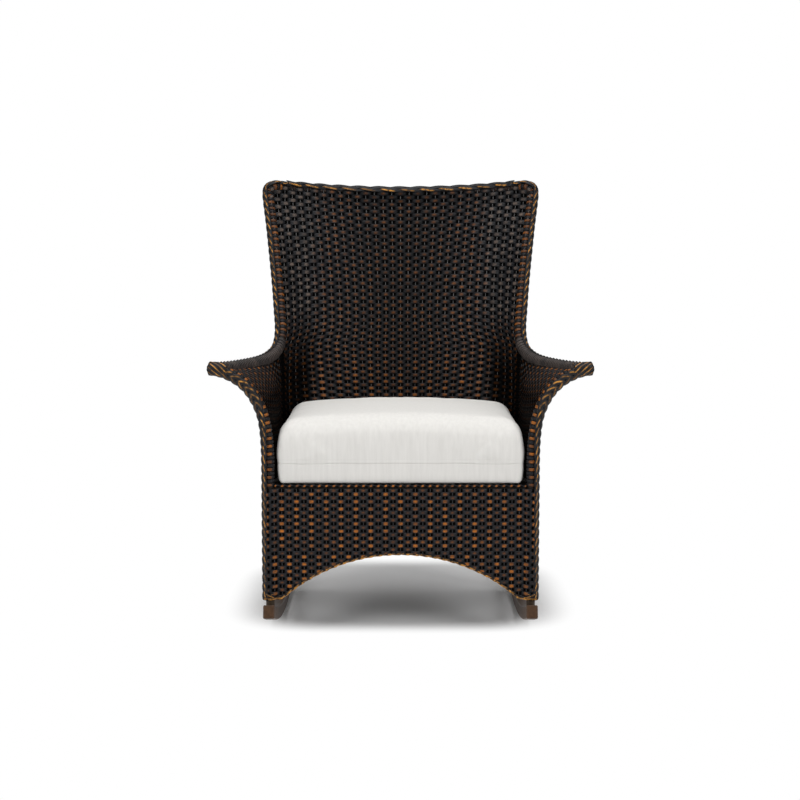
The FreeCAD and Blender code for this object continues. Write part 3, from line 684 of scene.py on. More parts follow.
def lay_on(sheet, net, normals, column_pitch, row_pitch, fineness):
    """Lays a flat sheet on a net that has fineness steps to each column and one step to each row."""
    points = points_of(sheet)
    u = np.clip(points[:, 0] / column_pitch * fineness, 0, net.shape[1] - 1.0001)
    v = np.clip(points[:, 1] / row_pitch, 0, net.shape[0] - 1.0001)
    i, j = u.astype(int), v.astype(int)
    a, b = (u - i)[:, None], (v - j)[:, None]

    def mixed(grid):
        low = grid[j, i] * (1 - a) + grid[j, i + 1] * a
        high = grid[j + 1, i] * (1 - a) + grid[j + 1, i + 1] * a
        return low * (1 - b) + high * b

    set_points(sheet, mixed(net) + mixed(normals) * points[:, 2:])


def cut_below(piece, line_height):
    """Cuts a laid sheet off along a line: line_height gives the line's height over each point."""
    points = points_of(piece)
    line = line_height(points)
    under = points[:, 2] < line
    faces = piece.data.polygons
    chosen = np.array([all(under[i] for i in face.vertices) for face in faces])
    faces.foreach_set("select", chosen)
    piece.data.vertices.foreach_set("select", np.zeros(len(points), bool))
    piece.data.edges.foreach_set("select", np.zeros(len(piece.data.edges), bool))
    points[:, 2] = np.where(under, line, points[:, 2])
    set_points(piece, points)
    take(piece)
    bpy.ops.object.mode_set(mode="EDIT")
    bpy.ops.mesh.select_mode(type="FACE")
    bpy.ops.mesh.delete(type="FACE")
    bpy.ops.mesh.select_mode(type="VERT")
    bpy.ops.object.mode_set(mode="OBJECT")


def finish_sheet(piece, slot, *nodes):
    """Closes the strands' ends, smooths them and hangs the piece on the chair in place of its CAD nodes."""
    take(piece)
    bpy.ops.object.mode_set(mode="EDIT")
    bpy.ops.mesh.select_all(action="SELECT")
    bpy.ops.mesh.fill_holes(sides=8)
    bpy.ops.mesh.select_all(action="SELECT")
    bpy.ops.mesh.normals_make_consistent(inside=False)
    bpy.ops.object.mode_set(mode="OBJECT")
    bpy.ops.object.shade_smooth()
    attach(piece, "chair")
    if nodes:
        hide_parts(*nodes)


def product(tree, *sources):
    """The product of several values."""
    total = sources[0]
    for source in sources[1:]:
        times = tree.nodes.new("ShaderNodeMath")
        times.operation = "MULTIPLY"
        tree.links.new(total, times.inputs[0])
        tree.links.new(source, times.inputs[1])
        total = times.outputs[0]
    return total


def noted_value(tree, name):
    value = tree.nodes.new("ShaderNodeAttribute")
    value.attribute_name = name
    return value.outputs["Fac"]


def streaks_along(tree, scale):
    """Fine noise drawn out along the strands."""
    flat = tree.nodes.new("ShaderNodeUVMap")
    flat.uv_map = "flat"
    stretch = add_node(tree, "ShaderNodeMapping", Scale=scale)
    streaks = add_node(tree, "ShaderNodeTexNoise", Scale=1.0, Detail=2.0, Roughness=0.5)
    tree.links.new(flat.outputs["UV"], stretch.inputs["Vector"])
    tree.links.new(stretch.outputs["Vector"], streaks.inputs["Vector"])
    return streaks.outputs["Fac"]


def patches(tree, scale):
    spot = tree.nodes.new("ShaderNodeTexCoord")
    spots = add_node(tree, "ShaderNodeTexNoise", Scale=scale, Detail=3.0, Roughness=0.55)
    tree.links.new(spot.outputs["Object"], spots.inputs["Vector"])
    return spots.outputs["Fac"]


def ribbed(tree, shader, streaks, depth):
    relief = add_node(tree, "ShaderNodeBump", Strength=0.4, Distance=depth)
    tree.links.new(streaks, relief.inputs["Height"])
    tree.links.new(relief.outputs["Normal"], shader.inputs["Normal"])


def strand_look(finish, shader):
    """Antique strand: charcoal flanks and crowns rubbed warm orange in streaks, with painted black shade in
    the pits, and painted shade and a painted sheen where a piece notes them.
    """
    tree = finish.node_tree
    height = noted_value(tree, "height")
    streaks = streaks_along(tree, streak_scale)
    shade = noted_value(tree, "shade")
    crown_height = product(tree, height, ranged(tree, shade, *crown_by_shade))
    crown = ranged(tree, crown_height, *crown_heights)
    row = ranged(tree, shade, *warmth_by_shade)
    patch = ranged(tree, patches(tree, patch_scale), *patch_range)
    streak = ranged(tree, streaks, *streak_range)
    # Painted sheen: crowns turn pale grey-brown where a piece notes it.
    crown_tone = tinted(tree, noted_value(tree, "painted_sheen"), strand_orange, strand_painted_sheen)
    warm = tinted(tree, product(tree, crown, row, patch, streak), strand_charcoal, crown_tone)
    # Painted shade: the strand sunk in each pit darkens to near black.
    pit_shade = ranged(tree, height, *pit_shade_heights, 1.0, 0.0)
    tone = tinted(tree, pit_shade, warm, strand_shadow)
    # Painted shade: the strand darkens to near black where a piece notes it.
    shaded = noted_value(tree, "painted_shade")
    tree.links.new(tinted(tree, shaded, tone, strand_shadow), shader.inputs["Base Color"])
    # Painted shade in the shine as well: it fades out in the pits and where painted shade is noted.
    shine = product(tree, ranged(tree, height, *shine_heights), ranged(tree, shaded, *painted_shade_shine))
    tree.links.new(shine, shader.inputs["Specular IOR Level"])
    ribbed(tree, shader, streaks, rib_depth)


weaver_finish, shader = new_finish("weaver_finish", strand_charcoal, 0.38)
strand_look(weaver_finish, shader)
stake_finish, shader = new_finish("stake_finish", stake_grey, 0.45)
tree = stake_finish.node_tree
high_up = ranged(tree, own_height(tree), *stake_fade_heights, *stake_high_range)
worn = product(tree, high_up, ranged(tree, patches(tree, stake_patch_scale), *stake_patch_range))
tree.links.new(tinted(tree, worn, strand_charcoal, stake_grey), shader.inputs["Base Color"])
shader.inputs["Specular IOR Level"].default_value = stake_shine


def arch_height(x, half_span, top):
    """Height of a round arch, flat beyond its ends."""
    rise = top - skirt_bottom_z
    radius = (half_span**2 + rise**2) / (2 * rise)
    inside = np.clip(radius**2 - np.asarray(x) ** 2, 0, None)
    arch = top - radius + np.sqrt(inside)
    return np.where(np.abs(x) < half_span, arch, skirt_bottom_z)


def under_front_arch(points):
    return arch_height(points[:, 0], front_arch_half_span, arch_top_z) + trim_radius


apron_pitches = (apron_pitch, apron_row_pitch)
rows = {"seed": 3, "turn_row": apron_turn_row, "first": -1}
apron = plain_weave("woven_apron_strands", apron_columns, apron_rows, *apron_pitches, **rows)
columns = np.arange(apron_columns * net_fineness + 1) / net_fineness - apron_columns / 2
past_edge = np.abs(columns) > apron_edge[0][0]
edge_x = np.sign(columns) * np.interp(np.abs(columns), *apron_edge)
columns_x = np.where(past_edge, edge_x, columns * apron_pitch)
off_post = np.clip(np.abs(np.abs(columns_x) - post_x), 0, apron_over_post)
depths = np.minimum(apron_depth, post_depth - np.sqrt(apron_over_post**2 - off_post**2))
heights = apron_foot_z + apron_row_pitch * np.arange(apron_rows + 1)
across, up = np.meshgrid(columns_x, heights)
net = np.stack([across, front_plane_y + np.tile(depths, (apron_rows + 1, 1)), up], 2)
lay_on(apron, net, normals_of(net), *apron_pitches, net_fineness)
cut_below(apron, under_front_arch)
finish_sheet(apron, "woven_strand", "woven_apron")

# Woven sides
# Arm and side skirt in one sheet of the same strand, from the front post back to the rear leg and up the
# flare to the rolled rim. The post and the leg are its outermost stakes, which the weavers go round.
side_rows = 66
side_columns = 26
side_pitch = (leg_foot[1] - post_depth) / side_columns
front_row_pitch = lengths_along(side_section(0.0))[-1] / side_rows
leg_row_pitch = lengths_along(side_section(1.0))[-1] / side_rows
tube_top = tube_radius + strand_thickness / 2
leg_outward = np.array([0.99, 0.14, 0.0])
side_arch_top_z = 0.16
side_arch_margin = 0.02
side_arch_start = post_depth + wrap_radius + side_arch_margin
side_arch_end = leg_point(skirt_bottom_z)[1] - tube_radius - side_arch_margin
side_arch_half_span = (side_arch_end - side_arch_start) / 2
# Painted shade: the strands on the inner face of each side darken below the arm and towards the rear leg.
painted_shade_heights = (0.54, 0.62)
painted_shade_up = (0.9, 0.1)
painted_shade_runs = (0.5, 0.85)
painted_shade_along = (0, 0.85)


def swell_at(sheet, column, column_pitch, tops):
    """Carries the weavers round a tube that stands in for the stake of a column."""
    points = points_of(sheet)
    near = np.clip(1 - np.abs(points[:, 0] / column_pitch - column), 0, 1)
    near = near * near * (3 - 2 * near)
    points[:, 2] += noted(sheet, "swing") * near * (tops - weave_lift)
    set_points(sheet, points)


def copy_of(piece):
    made = piece.copy()
    made.data = piece.data.copy()
    bpy.context.scene.collection.objects.link(made)
    return made


def mirrored(piece, name):
    """The left-hand copy of a right-hand piece."""
    made = copy_of(piece)
    name_piece(made, name)
    points = points_of(made)
    points[:, 0] *= -1
    set_points(made, points)
    return made


def finish_pair(piece, stem, ending, slot, in_place=True):
    """Finishes a right-hand piece and its left-hand copy, each in place of its own CAD node or of none."""
    other = mirrored(piece, stem + "_left" + ending)
    for one, hand in ((piece, "_right"), (other, "_left")):
        finish_sheet(one, slot, *([stem + hand] if in_place else []))


def under_side_arch(points):
    middle = front_plane_y + (side_arch_start + side_arch_end) / 2
    return arch_height(points[:, 1] - middle, side_arch_half_span, side_arch_top_z) + trim_radius


side_pitches = (side_pitch, front_row_pitch)
side = plain_weave("woven_side_right_strands", side_columns, side_rows, *side_pitches, seed=5)
swell_at(side, 0, side_pitch, tube_top)
swell_at(side, side_columns, side_pitch, tube_top)
row_shares = np.linspace(0, 1, side_rows + 1)
column_shares = np.linspace(0, 1, side_columns * net_fineness + 1)
net = on_floor(np.stack([spaced(side_section(s), row_shares) for s in column_shares], 1))
normals = normals_of(net)
normals[:, -1] = leg_outward
inside = points_of(side)[:, 2] < 0
run_share = points_of(side)[:, 0] / (side_pitch * side_columns)
lay_on(side, net, normals, *side_pitches, net_fineness)
# Painted shade on the inner face: darker below the arm and towards the rear leg.
below_arm = np.interp(points_of(side)[:, 2], painted_shade_heights, painted_shade_up)
note(side, "painted_shade", inside * np.maximum(below_arm, np.interp(run_share, painted_shade_runs, painted_shade_along)))
cut_below(side, under_side_arch)
finish_pair(side, "woven_side", "_strands", "woven_strand")

# Woven rear skirt and back
# The same strand woven round the back of the chair: the skirt from leg to leg below the seat, and above it
# the back, between the rear legs up to the arms and between the wings up to the top rail.
half_columns = 16
back_columns = 2 * half_columns
back_pitch = 0.024
skirt_rows = 30
back_low_rows = 42
back_rows = 78
edge_turn = 1.6
top_lap = (0, -0.0125, 0.002)
rub_rows = (0, 20, 36, 78)
rub_shares = (1.0, 1.0, 0.85, 0.75)
evened_shares = (0.2, 0.4, 0.9, 1.0)
even_shade = 0.62
# Painted shade on the back's strands, on both faces: a soft darkening across the middle, and a darker patch
# near each rear leg below the arms.
painted_shade_middle = 0.5
painted_shade_reach = 0.22
dark_corner_reach = (0.215, 0.25)
dark_corner_heights = (0.58, 0.70)
dark_corner_share = 0.85
# Painted sheen: the crowns on the upper sides of the back turn a pale grey-brown.
painted_sheen_from = (0.19, 0.64)
painted_sheen_over = (0.05, 0.1)
painted_sheen_shade = 0.8
column_gather_low = 0.82
column_gather_high = 1.0
rear_arch_half_span = 0.235
top_steps = 40
high_section_count = 30
back_top_drop = 0.5
corner_start_step = 10 * rim_fineness + rim_fineness // 2


def skirt_section(z):
    """Half of the rear skirt's section at a height."""
    return plan_curve(leg_point(z), back_foot_depth, z, plan_shares[0][1:])


def across_back(half_section, gather):
    """A whole section from the right edge to the left, its columns closer together in the middle."""
    q = np.linspace(0, 1, half_columns * net_fineness + 1)
    half = spaced(half_section, gather * q + (1 - gather) * q**3)
    other = half[1:] * np.array([-1, 1, 1])
    return np.concatenate([half[::-1], other])


def under_rear_arch(points):
    return arch_height(points[:, 0], rear_arch_half_span, arch_top_z) + trim_radius


def edge_normals(net, rows):
    """Outward directions, turned to match the sides where the sheet goes round the rear legs."""
    normals = normals_of(net)
    normals[:rows, 0] = leg_outward
    normals[:rows, -1] = leg_outward * np.array([-1, 1, 1])
    return normals


rows_on_leg = int((leg_head[2] - back_foot_z) / leg_row_pitch)
leg_row_z = [skirt_bottom_z + leg_row_pitch * j for j in range(skirt_rows + back_low_rows + 1)]
back_pitches = (back_pitch, leg_row_pitch)
skirt = plain_weave("woven_rear_skirt_strands", back_columns, skirt_rows, *back_pitches, seed=7)
for column in (0, back_columns):
    swell_at(skirt, column, back_pitch, tube_top)
sections = [skirt_section(z) for z in leg_row_z[: skirt_rows + 1]]
net = on_floor(np.stack([across_back(section, column_gather_low) for section in sections]))
lay_on(skirt, net, edge_normals(net, skirt_rows + 1), *back_pitches, net_fineness)
cut_below(skirt, under_rear_arch)
finish_sheet(skirt, "woven_strand", "woven_rear_skirt")

back = plain_weave("woven_back_strands", back_columns, back_rows, *back_pitches, seed=9)
for column in (0, back_columns):
    swell_at(back, column, back_pitch, tube_top)
low_sections = [across_back(back_section(z), column_gather_low) for z in leg_row_z[skirt_rows:]]
corner_half = rim_line[corner_start_step:][::-1]
top_half = np.array([top_point(x) for x in np.linspace(0, top_end_x, top_steps)[:-1]])
top_half = np.concatenate([top_half, corner_half]) + np.array(top_lap)
heights = np.linspace(leg_row_z[-1], corner[2] - back_top_drop * corner_radius, high_section_count)
gathers = np.linspace(column_gather_low, column_gather_high, high_section_count + 1)
sections = [across_back(back_section(z), gather) for z, gather in zip(heights, gathers)]
sections.append(across_back(top_half, column_gather_high))
stack = np.stack(sections)
high_shares = np.linspace(0, 1, back_rows - back_low_rows + 1)
high_rows = [spaced(stack[:, i], high_shares) for i in range(stack.shape[1])]
net = on_floor(np.concatenate([np.stack(low_sections), np.stack(high_rows, 1)[1:]]))
normals = edge_normals(net, rows_on_leg)
for edge, outward in ((0, 1), (-1, -1)):
    turned = normals[rows_on_leg:, edge] + np.array([0, edge_turn, 0])
    normals[rows_on_leg:, edge] = turned / np.linalg.norm(turned, axis=1, keepdims=True)
row = points_of(back)[:, 1] / leg_row_pitch
evened = np.interp(row, rub_rows, evened_shares)
shade = noted(back, "shade") * (1 - evened) + even_shade * evened
note(back, "shade", shade * np.interp(row, rub_rows, rub_shares))
lay_on(back, net, normals, *back_pitches, net_fineness)
# Painted shade: darker across the middle and near the rear legs below the arms.
points = points_of(back)
off_middle = np.abs(points[:, 0])
in_middle = painted_shade_middle * (1 - np.clip(off_middle / painted_shade_reach, 0, 1) ** 2)
near_leg = np.interp(off_middle, dark_corner_reach, (0, 1))
low_down = np.interp(points[:, 2], dark_corner_heights, (dark_corner_share, 0))
note(back, "painted_shade", np.maximum(in_middle, near_leg * low_down))
# Painted sheen on the upper sides of the back, where the crowns are also made fuller.
to_edge = np.clip((off_middle - painted_sheen_from[0]) / painted_sheen_over[0], 0, 1)
painted_sheen = to_edge * np.clip((points[:, 2] - painted_sheen_from[1]) / painted_sheen_over[1], 0, 1)
note(back, "painted_sheen", painted_sheen)
note(back, "shade", np.maximum(noted(back, "shade"), painted_sheen_shade * painted_sheen))
finish_sheet(back, "woven_strand", "woven_back")

# Wraps
# A flat strand wound round each tube that shows, turn by turn, over the ends of the sheets' strands: tight
# along the arms with a painted sheen on the turns' crests, plain along the top, and rubbed on every second
# turn on wings, posts and legs. The inner side of each leg wrap is painted in shade.
wrap_pitch = 0.0105
wrap_strand_width = 0.0105
wrap_strand_thickness = 0.0042
top_wrap_thickness = 0.0012
wing_wrap_thickness = 0.0016
crown_width = 0.0080
turn_pieces = 14
least_turn_shade = 0.6
turn_fullness = 1.4
crown_reach = 1.35
whole_turn = (-180, 180)
# The arm's turns carry a painted sheen on their crests; wing, row and plain turns carry none.
arm_rub_and_sheen = (0.5, 1.0, False)
wing_rub = (0.6, 0.0, True)
row_rub = (1.0, 0.0, True)
no_rub = (0.0, 0.0, False)
front_crown = ((0.08, 0.18), (-0.42, -1.1), 1.0)
leg_crown = ((0, 1), (0, 0), 0.8)
low_post_crown = ((0, 1), (1.5, 1.5), 0.8)
high_post_crown = ((0, 1), (2.0, 2.0), 0.8)
above_seat_z = 0.347
front_shade_heights = (0.36, 0.44)
front_shades = (0.5, 1)
corner_gap = 0.015
foot_gap = 0.006
tip_gap = 0.02
post_steps = 40
post_flare_steps = 60
top_line_steps = 121
leg_steps = 60
# Painted shade on the inner side of each leg wrap.
inner_side_start = 0.002
inner_side_blend = 0.003
inner_side_dark = 0.95
leg_facing = np.array([0.8, 0.6, 0.0])
post_facing = np.array([0.42, -0.91, 0.0])
top_facing = np.array([0.0, -0.5, 0.87])


def bar_path(line, facings):
    """A line with two directions square to it at each point: towards its facing, and across it."""
    run = np.gradient(line, axis=0)
    run /= np.linalg.norm(run, axis=1, keepdims=True)
    facing = facings - run * np.sum(facings * run, axis=1, keepdims=True)
    facing /= np.linalg.norm(facing, axis=1, keepdims=True)
    return lengths_along(line), line, facing, np.cross(run, facing)


def lay_along(piece, path, radius):
    """Lays a flat piece along a bar: X along it, Y round it from its facing, Z away from its surface."""
    run, line, facing, across = path
    points = points_of(piece)
    along = np.clip(points[:, 0], 0, run[-1])

    def at(grid):
        return np.stack([np.interp(along, run, column) for column in grid.T], 1)

    if radius:
        angle = points[:, 1] / radius
        reach = radius + points[:, 2]
        out, side_way = np.cos(angle) * reach, np.sin(angle) * reach
    else:
        out, side_way = points[:, 2], points[:, 1]
    set_points(piece, at(line) + at(facing) * out[:, None] + at(across) * side_way[:, None])


def part_of(path, start, end):
    """A stretch of a bar's path, from one length along it to another."""
    run, line, facing, across = path
    keep = (run >= start) & (run <= end)
    return run[keep] - run[keep][0], line[keep], facing[keep], across[keep]


def winding(name, path, pitch, degrees, rise, width, thickness, rub_and_sheen, crown=None):
    """Turns of strand round a tube, each from one angle to another while it climbs.

    The rub_and_sheen is how warm the turns are, how much painted sheen lies on their crests, and whether
    every second one stays dark. A crown limits it to a width about an angle that moves along the run: it is
    the runs, the angles there and the width.
    """
    warmth, painted_sheen, every_second = rub_and_sheen
    reach = tube_radius + thickness / 2
    start, end = (math.radians(angle) * reach for angle in degrees)
    turn = strand(abs(end - start), width, thickness, turn_pieces)
    points = points_of(turn)
    share = points[:, 0] / abs(end - start)
    note(turn, "height", points[:, 2] / thickness * 2)
    along = points[:, 1] + share * rise + pitch / 2
    set_points(turn, np.stack([along, between(start, end, share), points[:, 2]], 1))
    count = int(path[0][-1] / pitch)
    repeat(turn, count, (pitch, 0, 0))
    points = points_of(turn)
    chance = np.random.default_rng(len(points))
    number = np.clip((points[:, 0] / pitch).astype(int), 0, count - 1)
    note(turn, "shade", (warmth * chance.uniform(least_turn_shade, 1, count))[number])
    worn = 1 - number % 2 * every_second
    if crown:
        runs, angles, taper = crown
        off_crown = np.abs(points[:, 1] / reach - np.interp(points[:, 0], runs, angles))
        worn = worn * np.clip(crown_reach - off_crown / taper, 0, 1)
    note(turn, "height", np.clip(turn_fullness * noted(turn, "height"), -1, 1) * worn)
    note(turn, "painted_sheen", np.full(len(points), painted_sheen))
    keep_flat_place(turn, points[:, [1, 0, 2]])
    lay_along(turn, path, reach)
    turn.data.materials.append(weaver_finish)
    name_piece(turn, name)
    return turn


rim_path = bar_path(on_floor(rim_line), rim_faces)
upright = np.linspace(skirt_bottom_z, flare_start_z, post_steps)[:-1]
post_line = [(post_x, post_depth, z) for z in upright]
post_line += [(x, post_depth, z) for x, z in swept(flare(post_x, arm_tip), post_flare_steps)]
post_line = np.array(post_line)
post_path = bar_path(on_floor(post_line), np.tile(post_facing, (len(post_line), 1)))
top_line = np.array([top_point(x) for x in np.linspace(-top_end_x, top_end_x, top_line_steps)])
top_path = bar_path(on_floor(top_line), np.tile(top_facing, (len(top_line), 1)))
leg_line = [leg_point(z) for z in np.linspace(skirt_bottom_z + foot_gap, leg_head[2], leg_steps)]
leg_path = bar_path(on_floor(np.array(leg_line)), np.tile(leg_facing, (leg_steps, 1)))
arm_run = rim_path[0][wing_first_span * rim_fineness + rim_fineness // 2]
post_run = post_path[0][-1]
above_seat = above_seat_z - skirt_bottom_z
tight = (wrap_pitch, whole_turn, wrap_pitch, wrap_strand_width)
wing_rows = (leg_row_pitch, whole_turn, 0.0, crown_width, wing_wrap_thickness)
row_size = (0.0, crown_width, strand_thickness, row_rub)

path = part_of(rim_path, 0, arm_run)
arm_wrap = winding("arm_wrap_right_strand", path, *tight, wrap_strand_thickness, arm_rub_and_sheen)
path = part_of(rim_path, arm_run, rim_path[0][-1] - corner_gap)
wing_wrap = winding("wing_wrap_right_strand", path, *wing_rows, wing_rub)
rim_wrap = join([arm_wrap, wing_wrap], "rim_wrap_right_strand")
path = part_of(post_path, above_seat, post_run)
front_wrap = winding("front_wrap_right_strand", path, front_row_pitch, (65, -115), *row_size, front_crown)
up_post = np.interp(points_of(front_wrap)[:, 2], front_shade_heights, front_shades)
note(front_wrap, "shade", noted(front_wrap, "shade") * up_post)
leg_wrap = winding("leg_wrap_right_strand", leg_path, leg_row_pitch, (180, -180), *row_size, leg_crown)
path = part_of(post_path, foot_gap, above_seat)
low_wrap = winding("low_post_wrap", path, front_row_pitch, (165, 10), *row_size, low_post_crown)
path = part_of(post_path, above_seat, post_run - tip_gap)
high_wrap = winding("high_post_wrap", path, front_row_pitch, (165, 60), *row_size, high_post_crown)
post_wrap = join([low_wrap, high_wrap], "post_wrap_right_strand")
# Painted shade: the leg wrap's inner side, towards the chair's middle, is darkened.
points = points_of(leg_wrap)
leg_middle = np.interp(points[:, 2], (leg_foot[2], leg_head[2]), (leg_foot[0], leg_head[0]))
inward = (leg_middle + inner_side_start - points[:, 0]) / inner_side_blend
note(leg_wrap, "painted_shade", np.clip(inward, 0, inner_side_dark))
finish_pair(leg_wrap, "leg_wrap", "_strand", "woven_strand", in_place=False)
finish_pair(post_wrap, "post_wrap", "_strand", "woven_strand", in_place=False)
top_wrap = winding("top_wrap_strand", top_path, *tight, top_wrap_thickness, no_rub)
finish_sheet(top_wrap, "woven_strand", "top_wrap")
finish_pair(rim_wrap, "rim_wrap", "_strand", "woven_strand")
finish_pair(front_wrap, "front_wrap", "_strand", "woven_strand")

# Braids
# Flat plaits of the same strand, sewn over the wraps: four strands up the outer corner of each front post
# and along each rim, and three along the top. Where a strand comes to the top, its ridge is rubbed golden.
plait_strand_thickness = 0.0038
plait_lift = 0.0015
plait_pieces = 24
post_plait = (4, 0.098, 0.0045, 0.0072, 0.002, 0.0)
rim_plait = (4, 0.094, 0.0060, 0.0078, 0.0035, 0.0)
top_plait = (3, 0.190, 0.0038, 0.0108, -0.0035, 0.3)
braid_facing = np.array([0.68, -0.73, 0.0])
arm_facing = np.array([0.0, -1.0, 0.0])
facing_turn = (0.42, 0.56)
arm_face_length = 0.17
arm_blend = 0.05
arm_spread = 1.5
outer_gold = 0.5
least_gold = 0.3
gold_edge = 3
top_layer_start = 0.2
top_layer_blend = 0.6
braid_bed = 0.0122
corner_length = 0.05
corner_lead = 1.2
corner_flattening = 0.5
braid_gold = (0.66, 0.30, 0.055)
ridge_inner = (-0.55, -0.2)
ridge_outer = (-0.1, 0.2, 1.0, 0.0)
braid_streak_scale = (3, 90, 1)
braid_patch_scale = 110
braid_patch_range = (0.36, 0.58, 0.2, 1.0)
braid_shine = 0.2


def plait(name, path, bar_radius, kind, arm_start=math.inf, last_shift=None):
    """A flat plait along a bar: the strands that run outward lie on top of its inner half.

    Its kind is its count of strands, the length of one swing, the swing's reach, the strands' width, how far
    the plait lies off the facing and how far the golden ridge lies off its place. The inner strands show the
    ridge. From the arm's start on the outer ones do too, and the plait spreads. It moves over to its last
    shift round the top corner, where it lies flatter.
    """
    count, period, swing_reach, width, shift, ridge_shift = kind
    strands = []
    for number in range(count):
        one = strand(period, width, plait_strand_thickness, plait_pieces)
        points = points_of(one)
        phase = 2 * np.pi * (points[:, 0] / period + number / count)
        slope = np.cos(phase) * 2 * np.pi * swing_reach / period
        stretch = np.sqrt(1 + slope**2)
        across = points[:, 1].copy()
        up = points[:, 2].copy()
        layer = -np.sin(2 * phase)
        note(one, "ridge", across / width * 2 + ridge_shift)
        on_top = np.clip((layer + top_layer_start) / top_layer_blend, 0, 1) * (up >= 0)
        note(one, "inner", np.clip(gold_edge * np.cos(phase), 0, 1) * on_top)
        note(one, "outer", np.clip(-gold_edge * np.cos(phase), 0, 1) * on_top)
        points[:, 0] -= across * slope / stretch
        points[:, 1] = swing_reach * np.sin(phase) + across / stretch + shift
        points[:, 2] = up + plait_lift * layer + plait_strand_thickness / 2 + plait_lift
        set_points(one, points)
        strands.append(one)
    made = join(strands, name)
    swings = int(path[0][-1] / period) + 1
    repeat(made, swings, (period, 0, 0), joined=True)
    points = points_of(made)
    points[:, 0] *= path[0][-1] / (swings * period)
    set_points(made, points)
    chance = np.random.default_rng(len(points))
    blocks = count * swings
    number = np.clip((points[:, 0] / path[0][-1] * blocks).astype(int), 0, blocks - 1)
    on_arm = np.clip((points[:, 0] - arm_start) / arm_blend, 0, 1)
    gold = noted(made, "inner") + outer_gold * noted(made, "outer") * on_arm
    note(made, "gold", gold * chance.uniform(least_gold, 1, blocks)[number])
    keep_flat_place(made, points)
    points[:, 1] *= 1 + (arm_spread - 1) * on_arm
    if last_shift is not None:
        to_top = np.clip((points[:, 0] - path[0][-1]) / corner_length + corner_lead, 0, 1)
        points[:, 1] += (last_shift - shift) * to_top
        points[:, 2] *= 1 - corner_flattening * to_top
    set_points(made, points)
    lay_along(made, path, bar_radius)
    made.data.materials.append(braid_finish)
    return made


def braid_look(finish, shader):
    """Dark strand with a golden ridge where it comes to the top."""
    tree = finish.node_tree
    ridge = noted_value(tree, "ridge")
    inner = ranged(tree, ridge, *ridge_inner)
    outer = ranged(tree, ridge, *ridge_outer)
    streaks = streaks_along(tree, braid_streak_scale)
    patch = ranged(tree, patches(tree, braid_patch_scale), *braid_patch_range)
    gold = product(tree, inner, outer, noted_value(tree, "gold"), patch)
    tree.links.new(tinted(tree, gold, strand_charcoal, braid_gold), shader.inputs["Base Color"])
    shader.inputs["Specular IOR Level"].default_value = braid_shine
    ribbed(tree, shader, streaks, rib_depth)


braid_finish, shader = new_finish("braid_finish", strand_charcoal, 0.36)
braid_look(braid_finish, shader)
turned = np.interp(post_line[:, 2], facing_turn, (0, 1))[:, None]
path = bar_path(on_floor(post_line), between(braid_facing, arm_facing, turned))
arm_face_run = post_run - arm_face_length
front_braid = plait("front_braid_right_strands", path, wrap_radius, post_plait, arm_face_run)
rim_braid = plait("rim_braid_right_strands", rim_path, braid_bed, rim_plait, last_shift=top_plait[4])
finish_pair(front_braid, "front_braid", "_strands", "braid_strand")
finish_pair(rim_braid, "rim_braid", "_strands", "braid_strand")
path = bar_path(top_path[1][::-1], top_path[2][::-1])
top_braid = plait("top_braid_strands", path, braid_bed, top_plait)
finish_sheet(top_braid, "braid_strand", "top_braid")

# Arm tips
# The strands of the front braid wound aslant over the end of each arm, where post and rim meet, and drawn
# together to a closed tip.
sleeve_line = (
    (0.396, 0.009, 0.6225), (0.412, 0.0085, 0.6245), (0.428, 0.008, 0.626), (0.4440, 0.008, 0.6272),
)
sleeve_radius = 0.0150
sleeve_lead = 0.130
sleeve_pitch = 0.0150
sleeve_width = 0.0098
sleeve_thickness = 0.0036
sleeve_steps = 40
sleeve_gold = (0.55, 0.45)
gold_ripple = (260, 130)
tip_close = 0.007
tip_opening = 0.01


def delete_points(piece, chosen):
    take(piece)
    piece.data.vertices.foreach_set("select", chosen)
    bpy.ops.object.mode_set(mode="EDIT")
    bpy.ops.mesh.delete(type="VERT")
    bpy.ops.object.mode_set(mode="OBJECT")


sleeve_shares = np.linspace(0, len(sleeve_line) - 1, sleeve_steps)
sleeve_points = np.array([through(sleeve_line, t) for t in sleeve_shares])
sleeve_path = bar_path(on_floor(sleeve_points), np.tile(arm_facing, (sleeve_steps, 1)))
length = sleeve_path[0][-1]
turn_length = 2 * math.pi * sleeve_radius
slant = math.atan2(turn_length, sleeve_lead)
sleeve = strand(turn_length, sleeve_width, sleeve_thickness, plait_pieces)
points = points_of(sleeve)
share = points[:, 0] / turn_length
note(sleeve, "ridge", points[:, 1] / sleeve_width * 2)
note(sleeve, "gold", np.where(points[:, 2] >= 0, 1.0, 0.0))
across = points[:, 1].copy()
laid = np.stack([
    share * sleeve_lead + across * math.sin(slant) - sleeve_lead,
    (0.5 - share) * turn_length + across * math.cos(slant),
    points[:, 2],
], 1)
set_points(sleeve, laid)
repeat(sleeve, int((length + sleeve_lead) / sleeve_pitch) + 1, (sleeve_pitch, 0, 0))
points = points_of(sleeve)
delete_points(sleeve, (points[:, 0] < 0) | (points[:, 0] > length))
points = points_of(sleeve)
keep_flat_place(sleeve, points)
ripple = np.sin(points[:, 0] * gold_ripple[0] + points[:, 1] * gold_ripple[1])
note(sleeve, "gold", noted(sleeve, "gold") * (sleeve_gold[0] + sleeve_gold[1] * ripple))
to_end = np.clip((length - points[:, 0]) / tip_close, 0, 1)
run, line, facing, across_way = sleeve_path
angle = (points[:, 1] / sleeve_radius)[:, None]
reach = (sleeve_radius + points[:, 2]) * np.sqrt(np.clip(1 - (1 - to_end) ** 2, tip_opening, 1))


def along_sleeve(grid):
    return np.stack([np.interp(points[:, 0], run, column) for column in grid.T], 1)


